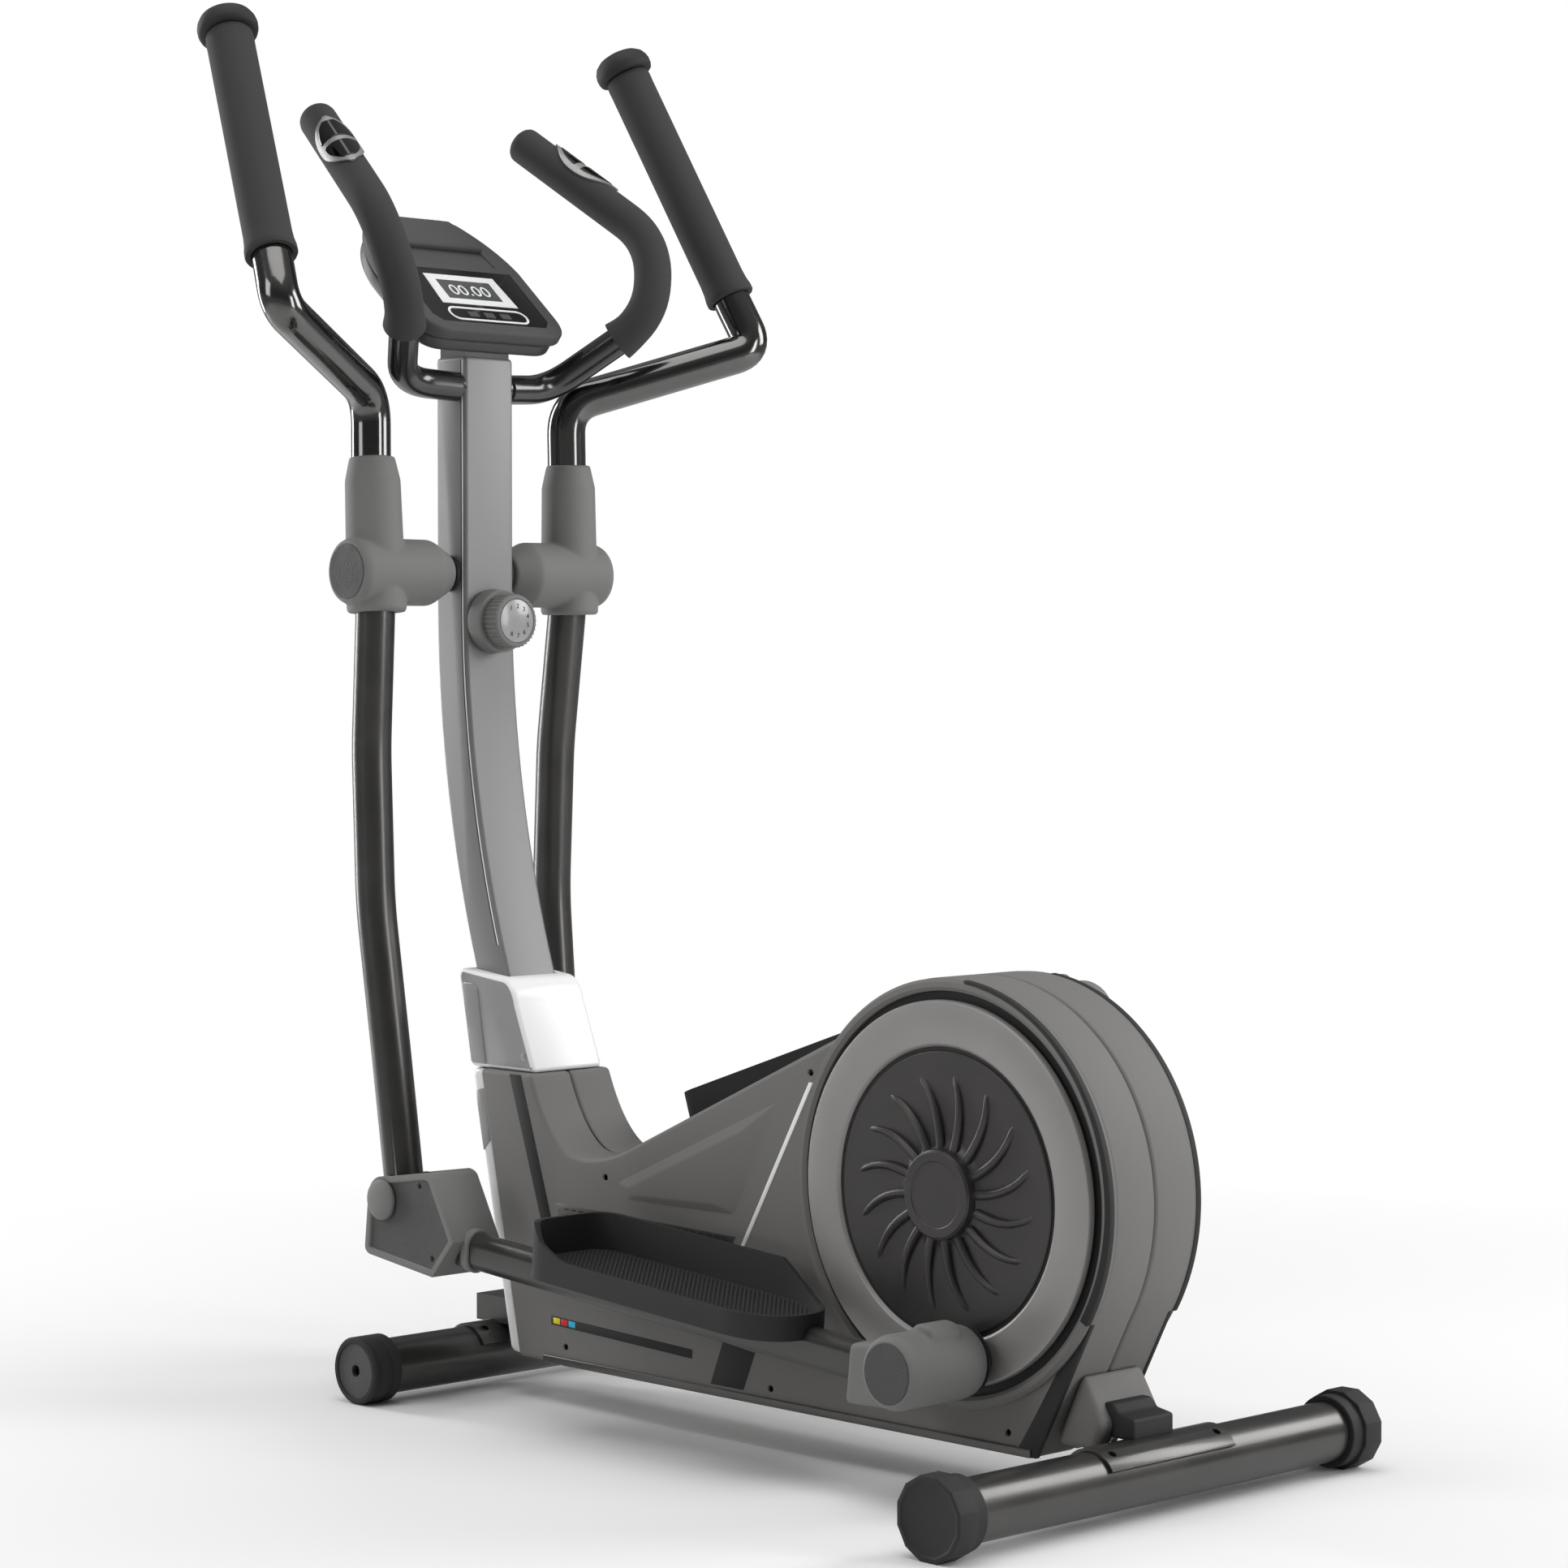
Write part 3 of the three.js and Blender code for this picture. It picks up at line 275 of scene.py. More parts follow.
def build_grain_group() -> None:
    """Makes fine grain and broad mottling."""
    tree = new_group(Group.GRAIN, {"Scale": 900.0, "Mottle Scale": 14.0}, ("Height", "Mottle"))
    for scale, detail, output in (("Scale", 3.0, "Height"), ("Mottle Scale", 6.0, "Mottle")):
        noise = speckle(tree, tree.nodes["in"].outputs[scale], detail, 0.6)
        tree.links.new(ramp(tree, noise, 0.3, 0.7), tree.nodes["out"].inputs[output])


def build_wear_group() -> None:
    """Makes a mask of worn corners: where a rounded normal leaves the true one, broken up by noise."""
    tree = new_group(Group.WEAR, {"Amount": 0.5, "Scale": 60.0}, ("Mask",))
    given = tree.nodes["in"].outputs
    bevel = tree.nodes.new("ShaderNodeBevel")
    bevel.samples = 4
    bevel.inputs["Radius"].default_value = 0.0012
    face = tree.nodes.new("ShaderNodeNewGeometry")
    dot = fed(tree, "VectorMath", bevel.outputs["Normal"], face.outputs["Normal"])
    dot.operation = "DOT_PRODUCT"
    edge = ramp(tree, dot.outputs["Value"], 0.985, 0.88)
    broken = product(tree, edge, ramp(tree, speckle(tree, given["Scale"], 8.0), 0.35, 0.65))
    tree.links.new(product(tree, broken, given["Amount"]), tree.nodes["out"].inputs["Mask"])


def build_dust_group() -> None:
    """Makes a mask of thin dust on faces that look up."""
    tree = new_group(Group.DUST, {"Amount": 0.2, "Scale": 35.0}, ("Mask",))
    given = tree.nodes["in"].outputs
    face = tree.nodes.new("ShaderNodeNewGeometry")
    upward = ramp(tree, fed(tree, "SeparateXYZ", face.outputs["Normal"]).outputs["Z"], 0.55, 1.0)
    spread = product(tree, upward, ramp(tree, speckle(tree, given["Scale"], 5.0), 0.3, 0.75))
    tree.links.new(product(tree, spread, given["Amount"]), tree.nodes["out"].inputs["Mask"])


# ---------------------------------------------------------------- finishes
DUST_COLOUR: Colour = (0.5, 0.49, 0.47)
COAT_ROUGHNESS = 0.12


@dataclass(frozen=True)
class Finish:
    """A procedural finish: a base colour with grain, mottling, worn corners and a little dust."""

    name: str
    colour: Colour
    roughness: float
    metallic: float = 0.0
    grain: float = 900.0
    relief: float = 0.00002
    mottle: float = 0.08
    wear: float = 0.25
    worn: Colour = (0.3, 0.3, 0.3)
    coat: float = 0.0
    dust: float = 0.012
    specular: float = 0.5

    def material(self) -> bpy.types.Material:
        """Gives the finish's material, made the first time it is asked for.

        Returns:
            The node-based material.
        """
        found = bpy.data.materials.get(self.name)
        return found or self._make()

    def _make(self) -> bpy.types.Material:
        """Builds the material's nodes.

        Returns:
            The new material.
        """
        material = bpy.data.materials.new(self.name)
        material.use_nodes = True
        tree = material.node_tree
        shader = tree.nodes["Principled BSDF"]
        shader.inputs["Metallic"].default_value = self.metallic
        shader.inputs["Coat Weight"].default_value = self.coat
        shader.inputs["Coat Roughness"].default_value = COAT_ROUGHNESS
        shader.inputs["Specular IOR Level"].default_value = self.specular
        grain = self._group(tree, Group.GRAIN, {"Scale": self.grain})
        wear = self._group(tree, Group.WEAR, {"Amount": self.wear})
        dust = self._group(tree, Group.DUST, {"Amount": self.dust})
        dark, light = self._shade(1 - self.mottle), self._shade(1 + self.mottle)
        mottled = self._mix(tree, grain.outputs["Mottle"], dark, light)
        rubbed = self._mix(tree, wear.outputs["Mask"], mottled, self.worn)
        dusted = self._mix(tree, dust.outputs["Mask"], rubbed, DUST_COLOUR)
        tree.links.new(dusted, shader.inputs["Base Color"])
        spread = fed(tree, "MapRange", grain.outputs["Mottle"])
        spread.inputs["To Min"].default_value = self.roughness * (1 - self.mottle)
        spread.inputs["To Max"].default_value = min(1.0, self.roughness * (1 + 2 * self.mottle))
        tree.links.new(spread.outputs["Result"], shader.inputs["Roughness"])
        bump = tree.nodes.new("ShaderNodeBump")
        bump.inputs["Distance"].default_value = self.relief
        tree.links.new(grain.outputs["Height"], bump.inputs["Height"])
        tree.links.new(bump.outputs["Normal"], shader.inputs["Normal"])
        return material

    def _shade(self, factor: float) -> Colour:
        """Gives the base colour times a factor."""
        return tuple(min(1.0, part * factor) for part in self.colour)

    @staticmethod
    def _group(tree: Tree, kind: Group, values: dict[str, float]) -> bpy.types.Node:
        """Places a shared group with its own values.

        Args:
            tree: the material's tree.
            kind: the shared group.
            values: values of its inputs.

        Returns:
            The group node.
        """
        node = tree.nodes.new("ShaderNodeGroup")
        node.node_tree = bpy.data.node_groups[kind.value]
        for name, value in values.items():
            node.inputs[name].default_value = value
        return node

    @staticmethod
    def _mix(
        tree: Tree,
        factor: Socket,
        low: Colour | Socket,
        high: Colour | Socket,
    ) -> Socket:
        """Mixes two colours.

        Args:
            tree: the material's tree.
            factor: how much of the second colour shows.
            low: the first colour, fixed or linked.
            high: the second colour, fixed or linked.

        Returns:
            The mixed colour.
        """
        node = fed(tree, "Mix", factor)
        node.data_type = "RGBA"
        for socket, value in ((node.inputs[6], low), (node.inputs[7], high)):
            if isinstance(value, Socket):
                tree.links.new(value, socket)
            else:
                socket.default_value = (*value, 1.0)
        return node.outputs[2]


def printed(name: str, colour: Colour) -> Finish:
    """Gives a thin, even print."""
    return Finish(name, colour, 0.35, relief=0.000003, mottle=0.02, wear=0.0)


FRAME_PAINT = Finish("frame_paint", (0.070, 0.068, 0.066), 0.32, 0.8, grain=1600, wear=0.2, coat=0.25)
MAST_PAINT = Finish("mast_paint", (0.080, 0.078, 0.077), 0.5, 0.1, grain=1600, wear=0.2, specular=0.15)
TUBE_PAINT = Finish("tube_paint", (0.060, 0.058, 0.057), 0.2, 0.85, grain=1800, relief=0.000006, wear=0.1,
                    coat=0.4)
ARM_CHROME = Finish("arm_chrome", (0.10, 0.098, 0.096), 0.14, 0.95, relief=0.000004, mottle=0.04, wear=0.05,
                    coat=0.5)
HOUSING = Finish("housing_plastic", (0.058, 0.054, 0.052), 0.28, 0.75, grain=1400, wear=0.2, coat=0.15)
HOUSING_LIGHT = Finish("housing_panel", (0.105, 0.100, 0.097), 0.33, 0.55, grain=1400, wear=0.15, coat=0.15)
WHITE = Finish("white_gloss", (0.84, 0.84, 0.84), 0.22, relief=0.000004, mottle=0.015, wear=0.1,
               worn=(0.6, 0.6, 0.6), coat=0.6, dust=0.02)
PALE = Finish("pale_panel", (0.30, 0.30, 0.30), 0.3, relief=0.000006, mottle=0.02, wear=0.1, coat=0.4)
RING = Finish("ring_satin", (0.285, 0.275, 0.27), 0.4, 0.35, grain=1500, mottle=0.03, wear=0.2,
              worn=(0.7, 0.7, 0.7))
INSERT = Finish("insert_satin", (0.052, 0.049, 0.048), 0.36, 0.5, grain=1500, wear=0.2)
JOINT = Finish("joint_plastic", (0.062, 0.060, 0.059), 0.38, 0.3, grain=1500, relief=0.00004, wear=0.25)
TEXTURED = Finish("textured_plastic", (0.050, 0.049, 0.048), 0.55, grain=420, relief=0.00035, mottle=0.2,
                  wear=0.2)
BLACK = Finish("black_plastic", (0.003, 0.003, 0.003), 0.36, grain=1200, mottle=0.15, wear=0.2,
               worn=(0.03, 0.03, 0.03), specular=0.15)
FOAM = Finish("foam", (0.010, 0.0097, 0.0097), 0.42, grain=1300, relief=0.00009, mottle=0.12, wear=0.0,
              specular=0.35)
CONSOLE = Finish("console_plastic", (0.014, 0.014, 0.014), 0.42, grain=1300, wear=0.15,
                 worn=(0.12, 0.12, 0.12))
CONSOLE_LOW = Finish("console_lower", (0.040, 0.040, 0.040), 0.45, grain=1300, wear=0.15)
WINDOW = Finish("window_gloss", (0.001, 0.001, 0.001), 0.12, relief=0.0000005, mottle=0.02, wear=0.0,
                dust=0.0, specular=0.3)
MIRROR = Finish("contact_mirror", (0.030, 0.030, 0.030), 0.08, 1.0, relief=0.000001, mottle=0.05, wear=0.0)
PRINT = Finish("white_print", (0.78, 0.78, 0.78), 0.4, relief=0.000003, mottle=0.02, wear=0.0)
SCREEN = Finish("screen_grey", (0.070, 0.074, 0.075), 0.25, relief=0.000003, mottle=0.04, wear=0.0)
STEEL = Finish("machined_steel", (0.45, 0.45, 0.45), 0.3, 1.0, grain=700, wear=0.2)
IRON = Finish("cast_iron", (0.10, 0.10, 0.10), 0.6, 0.7, grain=500, relief=0.0002, mottle=0.2)
RUBBER = Finish("rubber", (0.006, 0.006, 0.006), 0.6, grain=900, relief=0.00005, mottle=0.15, wear=0.1,
                worn=(0.02, 0.02, 0.02), specular=0.15)
YELLOW = printed("yellow_print", (0.85, 0.75, 0.02))
RED = printed("red_print", (0.75, 0.02, 0.03))
CYAN = printed("cyan_print", (0.03, 0.50, 0.80))


# ---------------------------------------------------------------- the modelling bench
class Bench:
    """Modelling steps that every sub-assembly uses, each one a chain of operators."""

    @staticmethod
    def clear() -> None:
        """Leaves edit mode and deselects everything."""
        if bpy.context.mode != "OBJECT":
            bpy.ops.object.mode_set(mode="OBJECT")
        bpy.ops.object.select_all(action="DESELECT")

    @staticmethod
    def only(piece: Piece) -> None:
        """Makes a piece the only selected and the active one.

        Args:
            piece: the object.
        """
        Bench.clear()
        piece.select_set(True)
        bpy.context.view_layer.objects.active = piece

    @staticmethod
    def apply(piece: Piece, kind: str, **settings: object) -> Piece:
        """Adds a modifier and applies it.

        Args:
            piece: the mesh object.
            kind: the modifier's type.
            **settings: the modifier's properties.

        Returns:
            The same piece.
        """
        Bench.only(piece)
        modifier = piece.modifiers.new(kind.lower(), kind)
        for name, value in settings.items():
            setattr(modifier, name, value)
        bpy.ops.object.modifier_apply(modifier=modifier.name)
        return piece

    @staticmethod
    def rounded(piece: Piece, width: float, segments: int = 3, angle: float = 30.0) -> Piece:
        """Rounds the edges that are sharper than an angle.

        Args:
            piece: the mesh object.
            width: width of the rounding.
            segments: faces across it.
            angle: sharpness limit in degrees.

        Returns:
            The same piece.
        """
        return Bench.apply(piece, "BEVEL", width=width, segments=segments, limit_method="ANGLE",
                           angle_limit=math.radians(angle))

    @staticmethod
    def cut(piece: Piece, *tools: Piece) -> Piece:
        """Cuts tools out of a piece and removes them.

        Args:
            piece: the piece that is cut.
            *tools: closed meshes.

        Returns:
            The same piece.
        """
        return Bench._combine(piece, tools, "DIFFERENCE")

    @staticmethod
    def fuse(piece: Piece, *tools: Piece) -> Piece:
        """Joins closed meshes to a piece as one solid.

        Args:
            piece: the piece that grows.
            *tools: closed meshes.

        Returns:
            The same piece.
        """
        return Bench._combine(piece, tools, "UNION")

    @staticmethod
    def _combine(piece: Piece, tools: tuple[Piece, ...], operation: str) -> Piece:
        """Runs one boolean for each tool and removes the tool.

        Args:
            piece: the piece that is changed.
            tools: closed meshes.
            operation: the boolean's kind.

        Returns:
            The same piece.
        """
        for tool in tools:
            Bench.apply(piece, "BOOLEAN", operation=operation, object=tool, solver="EXACT")
            bpy.data.objects.remove(tool)
        return piece

    @staticmethod
    def joined(*pieces: Piece) -> Piece:
        """Joins pieces into the first one's mesh, each shell kept.

        Args:
            *pieces: mesh objects.

        Returns:
            The first piece.
        """
        Bench.clear()
        for piece in pieces:
            piece.select_set(True)
        bpy.context.view_layer.objects.active = pieces[0]
        bpy.ops.object.join()
        return pieces[0]

    @staticmethod
    def melted(piece: Piece, voxel: float, rounds: int) -> Piece:
        """Fuses overlapping shells into one skin with soft fillets.

        Args:
            piece: a mesh of closed shells.
            voxel: size of the remeshing cells.
            rounds: smoothing passes.

        Returns:
            The same piece.
        """
        Bench.apply(piece, "REMESH", mode="VOXEL", voxel_size=voxel)
        return Bench.apply(piece, "SMOOTH", factor=0.5, iterations=rounds)

    @staticmethod
    def moved(piece: Piece, matrix: Matrix) -> Piece:
        """Places a piece and puts its place into its mesh.

        Args:
            piece: the mesh object.
            matrix: where it goes.

        Returns:
            The same piece.
        """
        Bench.only(piece)
        piece.matrix_world = matrix @ piece.matrix_world
        bpy.ops.object.transform_apply(location=True, rotation=True, scale=True)
        return piece

    @staticmethod
    def fixed(piece: Piece, merge: float = 0.01) -> Piece:
        """Merges doubled points and turns the faces outwards.

        Args:
            piece: the mesh object.
            merge: points closer than this are merged.

        Returns:
            The same piece.
        """
        Bench.only(piece)
        bpy.ops.object.mode_set(mode="EDIT")
        bpy.ops.mesh.select_all(action="SELECT")
        bpy.ops.mesh.remove_doubles(threshold=merge)
        bpy.ops.mesh.normals_make_consistent(inside=False)
        bpy.ops.object.mode_set(mode="OBJECT")
        return piece

    @staticmethod
    def turned(profile: list[Flat], segments: int = 96) -> Piece:
        """Turns a profile round the Z axis, ring by ring, and closes its ends.

        Args:
            profile: (radius, height) points from one end to the other; a first point equal to the last
                makes a hollow ring.
            segments: faces round the axis.

        Returns:
            The closed turned piece, with its axis on Z.
        """
        Bench.clear()
        radius, height = profile[0]
        bpy.ops.mesh.primitive_circle_add(vertices=segments, radius=radius, location=(0.0, 0.0, height))
        bpy.ops.object.transform_apply(location=True)
        piece = bpy.context.object
        bpy.ops.object.mode_set(mode="EDIT")
        closed = profile[0] == profile[-1]
        if not closed:
            bpy.ops.mesh.edge_face_add()
        for (old, low), (new, high) in zip(profile, profile[1:]):
            bpy.ops.mesh.extrude_edges_move(TRANSFORM_OT_translate={"value": (0.0, 0.0, high - low)})
            bpy.ops.transform.resize(value=(new / old, new / old, 1.0), center_override=(0.0, 0.0, high))
        if not closed:
            bpy.ops.mesh.edge_face_add()
        bpy.ops.object.mode_set(mode="OBJECT")
        return Bench.fixed(piece)

    @staticmethod
    def along_y(piece: Piece, side: float, x: float = 0.0, z: float = 0.0) -> Piece:
        """Lays a turned piece on an axis along Y, so that its heights become distances outwards.

        Args:
            piece: a piece with its axis on Z.
            side: -1 for the left, +1 for the right.
            x: place of the axis.
            z: place of the axis.

        Returns:
            The same piece.
        """
        turn = Matrix.Rotation(math.radians(-90.0 * side), 4, "X")
        return Bench.moved(piece, Matrix.Translation((x, 0.0, z)) @ turn)

    @staticmethod
    def plate(outline: list[Flat], low: float, high: float) -> Piece:
        """Extrudes a flat outline along Z.

        Args:
            outline: the corners in order.
            low: height of the first face.
            high: height of the second face.

        Returns:
            The closed plate.
        """
        Bench.clear()
        bpy.ops.mesh.primitive_circle_add(vertices=len(outline), radius=1.0, fill_type="NGON")
        piece = bpy.context.object
        for vertex, (a, b) in zip(piece.data.vertices, outline):
            vertex.co = (a, b, low)
        bpy.ops.object.mode_set(mode="EDIT")
        bpy.ops.mesh.select_all(action="SELECT")
        bpy.ops.mesh.extrude_region_move(TRANSFORM_OT_translate={"value": (0.0, 0.0, high - low)})
        bpy.ops.object.mode_set(mode="OBJECT")
        return Bench.fixed(piece, 0.001)

    @staticmethod
    def side_plate(outline: list[Flat], side: float, near: float, far: float) -> Piece:
        """Extrudes an outline in the XZ plane outwards along Y.

        Args:
            outline: (x, z) corners in order.
            side: -1 for the left, +1 for the right.
            near: distance of the inner face from the middle plane.
            far: distance of the outer face from the middle plane.

        Returns:
            The closed plate.
        """
        piece = Bench.plate(outline, near, far)
        swap = Matrix(((1, 0, 0, 0), (0, 0, side, 0), (0, 1, 0, 0), (0, 0, 0, 1)))
        piece.data.transform(swap)
        return Bench.fixed(piece, 0.001)

    @staticmethod
    def tube(
        path: list[Point], radius: float, ring: int = 14, swell: list[float] | None = None
    ) -> Piece:
        """Draws a round bar along a path.

        Args:
            path: the points of its middle line.
            radius: the bar's radius.
            ring: resolution round the bar.
            swell: the radius at each point as a share of the bar's radius.

        Returns:
            The bar as a closed mesh.
        """
        Bench.clear()
        bpy.ops.curve.primitive_nurbs_path_add(radius=1.0, location=(0.0, 0.0, 0.0))
        curve = bpy.context.object
        data = curve.data
        data.splines.clear()
        spline = data.splines.new("POLY")
        spline.points.add(len(path) - 1)
        for i, (point, place) in enumerate(zip(spline.points, path)):
            point.co = (*place, 1.0)
            point.radius = swell[i] if swell else 1.0
        data.bevel_depth = radius
        data.bevel_resolution = ring
        data.use_fill_caps = True
        bpy.ops.object.convert(target="MESH")
        return Bench.fixed(bpy.context.object)


def finished(
    piece: Piece,
    name: str,
    body: str,
    finish: Finish,
    nodes: tuple[str, ...] = (),
    datum: Datum | None = None,
    smooth: float = 35.0,
    accents: tuple[Finish, ...] = (),
) -> Piece:
    """Places, names, dresses and hands over a piece.

    Args:
        piece: the mesh object.
        name: the piece's name.
        body: the CAD body that it rides on.
        finish: its finish.
        nodes: the CAD nodes that it stands for.
        datum: the local frame that it was drawn in; the drawing frame where none is given.
        smooth: edges sharper than this angle stay crisp.
        accents: finishes of the faces that were marked 1, 2 and so on.

    Returns:
        The finished piece.
    """
    Bench.moved(piece, (datum or on_drawing()).matrix())
    Bench.only(piece)
    bpy.ops.object.shade_smooth_by_angle(angle=math.radians(smooth))
    piece.name = name
    piece.data.name = name
    for coat in (finish, *accents):
        piece.data.materials.append(coat.material())
    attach(piece, body)
    if nodes:
        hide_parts(*nodes)
    LOG.info("%s rides on %s", name, body)
    return piece


# ---------------------------------------------------------------- drawing helpers
def mark(piece: Piece, pick: Callable[[bpy.types.MeshPolygon], bool], index: int = 1) -> Piece:
    """Marks the faces that a test picks for one of the accent finishes.

    Args:
        piece: the mesh object.
        pick: a test of a face.
        index: which accent the faces get.

    Returns:
        The same piece.
    """
    for face in piece.data.polygons:
        if pick(face):
            face.material_index = index
    return piece


def panel(piece: Piece, facing: Point, border: float, depth: float, index: int = 1) -> Piece:
    """Sinks a panel into the largest face that looks one way, leaving a border round it.

    Args:
        piece: the mesh object.
        facing: where the face looks.
        border: width of the border.
        depth: how deep the panel lies.
        index: which accent the panel gets.

    Returns:
        The same piece.
    """
    Bench.only(piece)
    towards = Vector(facing)
    faces = [face for face in piece.data.polygons if face.normal.dot(towards) > 0.99]
    chosen = max(faces, key=lambda face: face.area)
    for item in (*piece.data.polygons, *piece.data.edges, *piece.data.vertices):
        item.select = False
    chosen.select = True
    bpy.ops.object.mode_set(mode="EDIT")
    bpy.ops.mesh.select_mode(type="FACE")
    bpy.ops.mesh.inset(thickness=border, depth=0.0)
    bpy.ops.mesh.inset(thickness=0.8 * depth, depth=-depth)
    bpy.ops.object.mode_set(mode="OBJECT")
    return mark(piece, lambda face: face.select, index)


def bend(start: Flat, corner: Flat, end: Flat, steps: int = 8) -> list[Flat]:
    """Gives points of a quadratic curve, without its first point.

    Args:
        start: where the curve starts.
        corner: the point that pulls it.
        end: where it ends.
        steps: number of points.

    Returns:
        The points after the start.
    """
    points = []
    for i in range(1, steps + 1):
        share = i / steps
        weights = ((1 - share) ** 2, 2 * share * (1 - share), share * share)
        pulls = list(zip(weights, (start, corner, end)))
        points.append(tuple(sum(weight * point[axis] for weight, point in pulls) for axis in (0, 1)))
    return points


def box(left: float, right: float, low: float, high: float) -> list[Flat]:
    """Gives the corners of a rectangle."""
    return [(left, low), (right, low), (right, high), (left, high)]


def arc(x: float, z: float, radius: float, first: float, last: float, steps: int = 24) -> list[Flat]:
    """Gives points of an arc between two angles in degrees."""
    turns = [math.radians(first + (last - first) * i / steps) for i in range(steps + 1)]
    return [(x + radius * math.cos(turn), z + radius * math.sin(turn)) for turn in turns]


def rounded_path(corners: list[Point], radii: list[float], steps: int = 10) -> list[Point]:
    """Rounds the corners of a path.

    Args:
        corners: the corner points from end to end.
        radii: rounding of each inner corner.
        steps: points on each rounding.

    Returns:
        The points of the smooth path.
    """
    points = [Vector(corner) for corner in corners]
    path = [points[0]]
    for i in range(1, len(points) - 1):
        back = points[i - 1] - points[i]
        ahead = points[i + 1] - points[i]
        reach = min(radii[i - 1] / math.tan(back.angle(ahead) / 2), 0.48 * back.length, 0.48 * ahead.length)
        enter = points[i] + back.normalized() * reach
        leave = points[i] + ahead.normalized() * reach
        for k in range(steps + 1):
            share = k / steps
            rest = 1 - share
            path.append(enter * rest ** 2 + points[i] * 2 * share * rest + leave * share * share)
    path.append(points[-1])
    return [tuple(point) for point in path]


def lifted(piece: Piece, origin: Point, axis: Point) -> Piece:
    """Turns a piece's Z axis to a direction and moves its origin to a point."""
    turn = Vector(axis).to_track_quat("Z", "Y").to_matrix().to_4x4()
    return Bench.moved(piece, Matrix.Translation(origin) @ turn)


def side_round(profile: list[Flat], side: float, x: float = 0.0, z: float = 0.0,
               segments: int = 96) -> Piece:
    """Turns a (radius, distance outwards) profile about an axis along Y."""
    return Bench.along_y(Bench.turned(profile, segments), side, x, z)


def lettering(text: str, size: float, depth: float) -> Piece:
    """Makes raised lettering in the XY plane, centred on the origin, as a mesh.

    Args:
        text: plain numbers or generic words.
        size: height of the letters.
        depth: how far they stand out.

    Returns:
        The letters as one mesh.
    """
    Bench.clear()
    bpy.ops.object.text_add()
    letters = bpy.context.object
    letters.data.body = text
    letters.data.size = size
    letters.data.align_x = "CENTER"
    letters.data.align_y = "CENTER"
    letters.data.extrude = depth / 2
    letters.data.resolution_u = 4
    bpy.ops.object.convert(target="MESH")
    return bpy.context.object


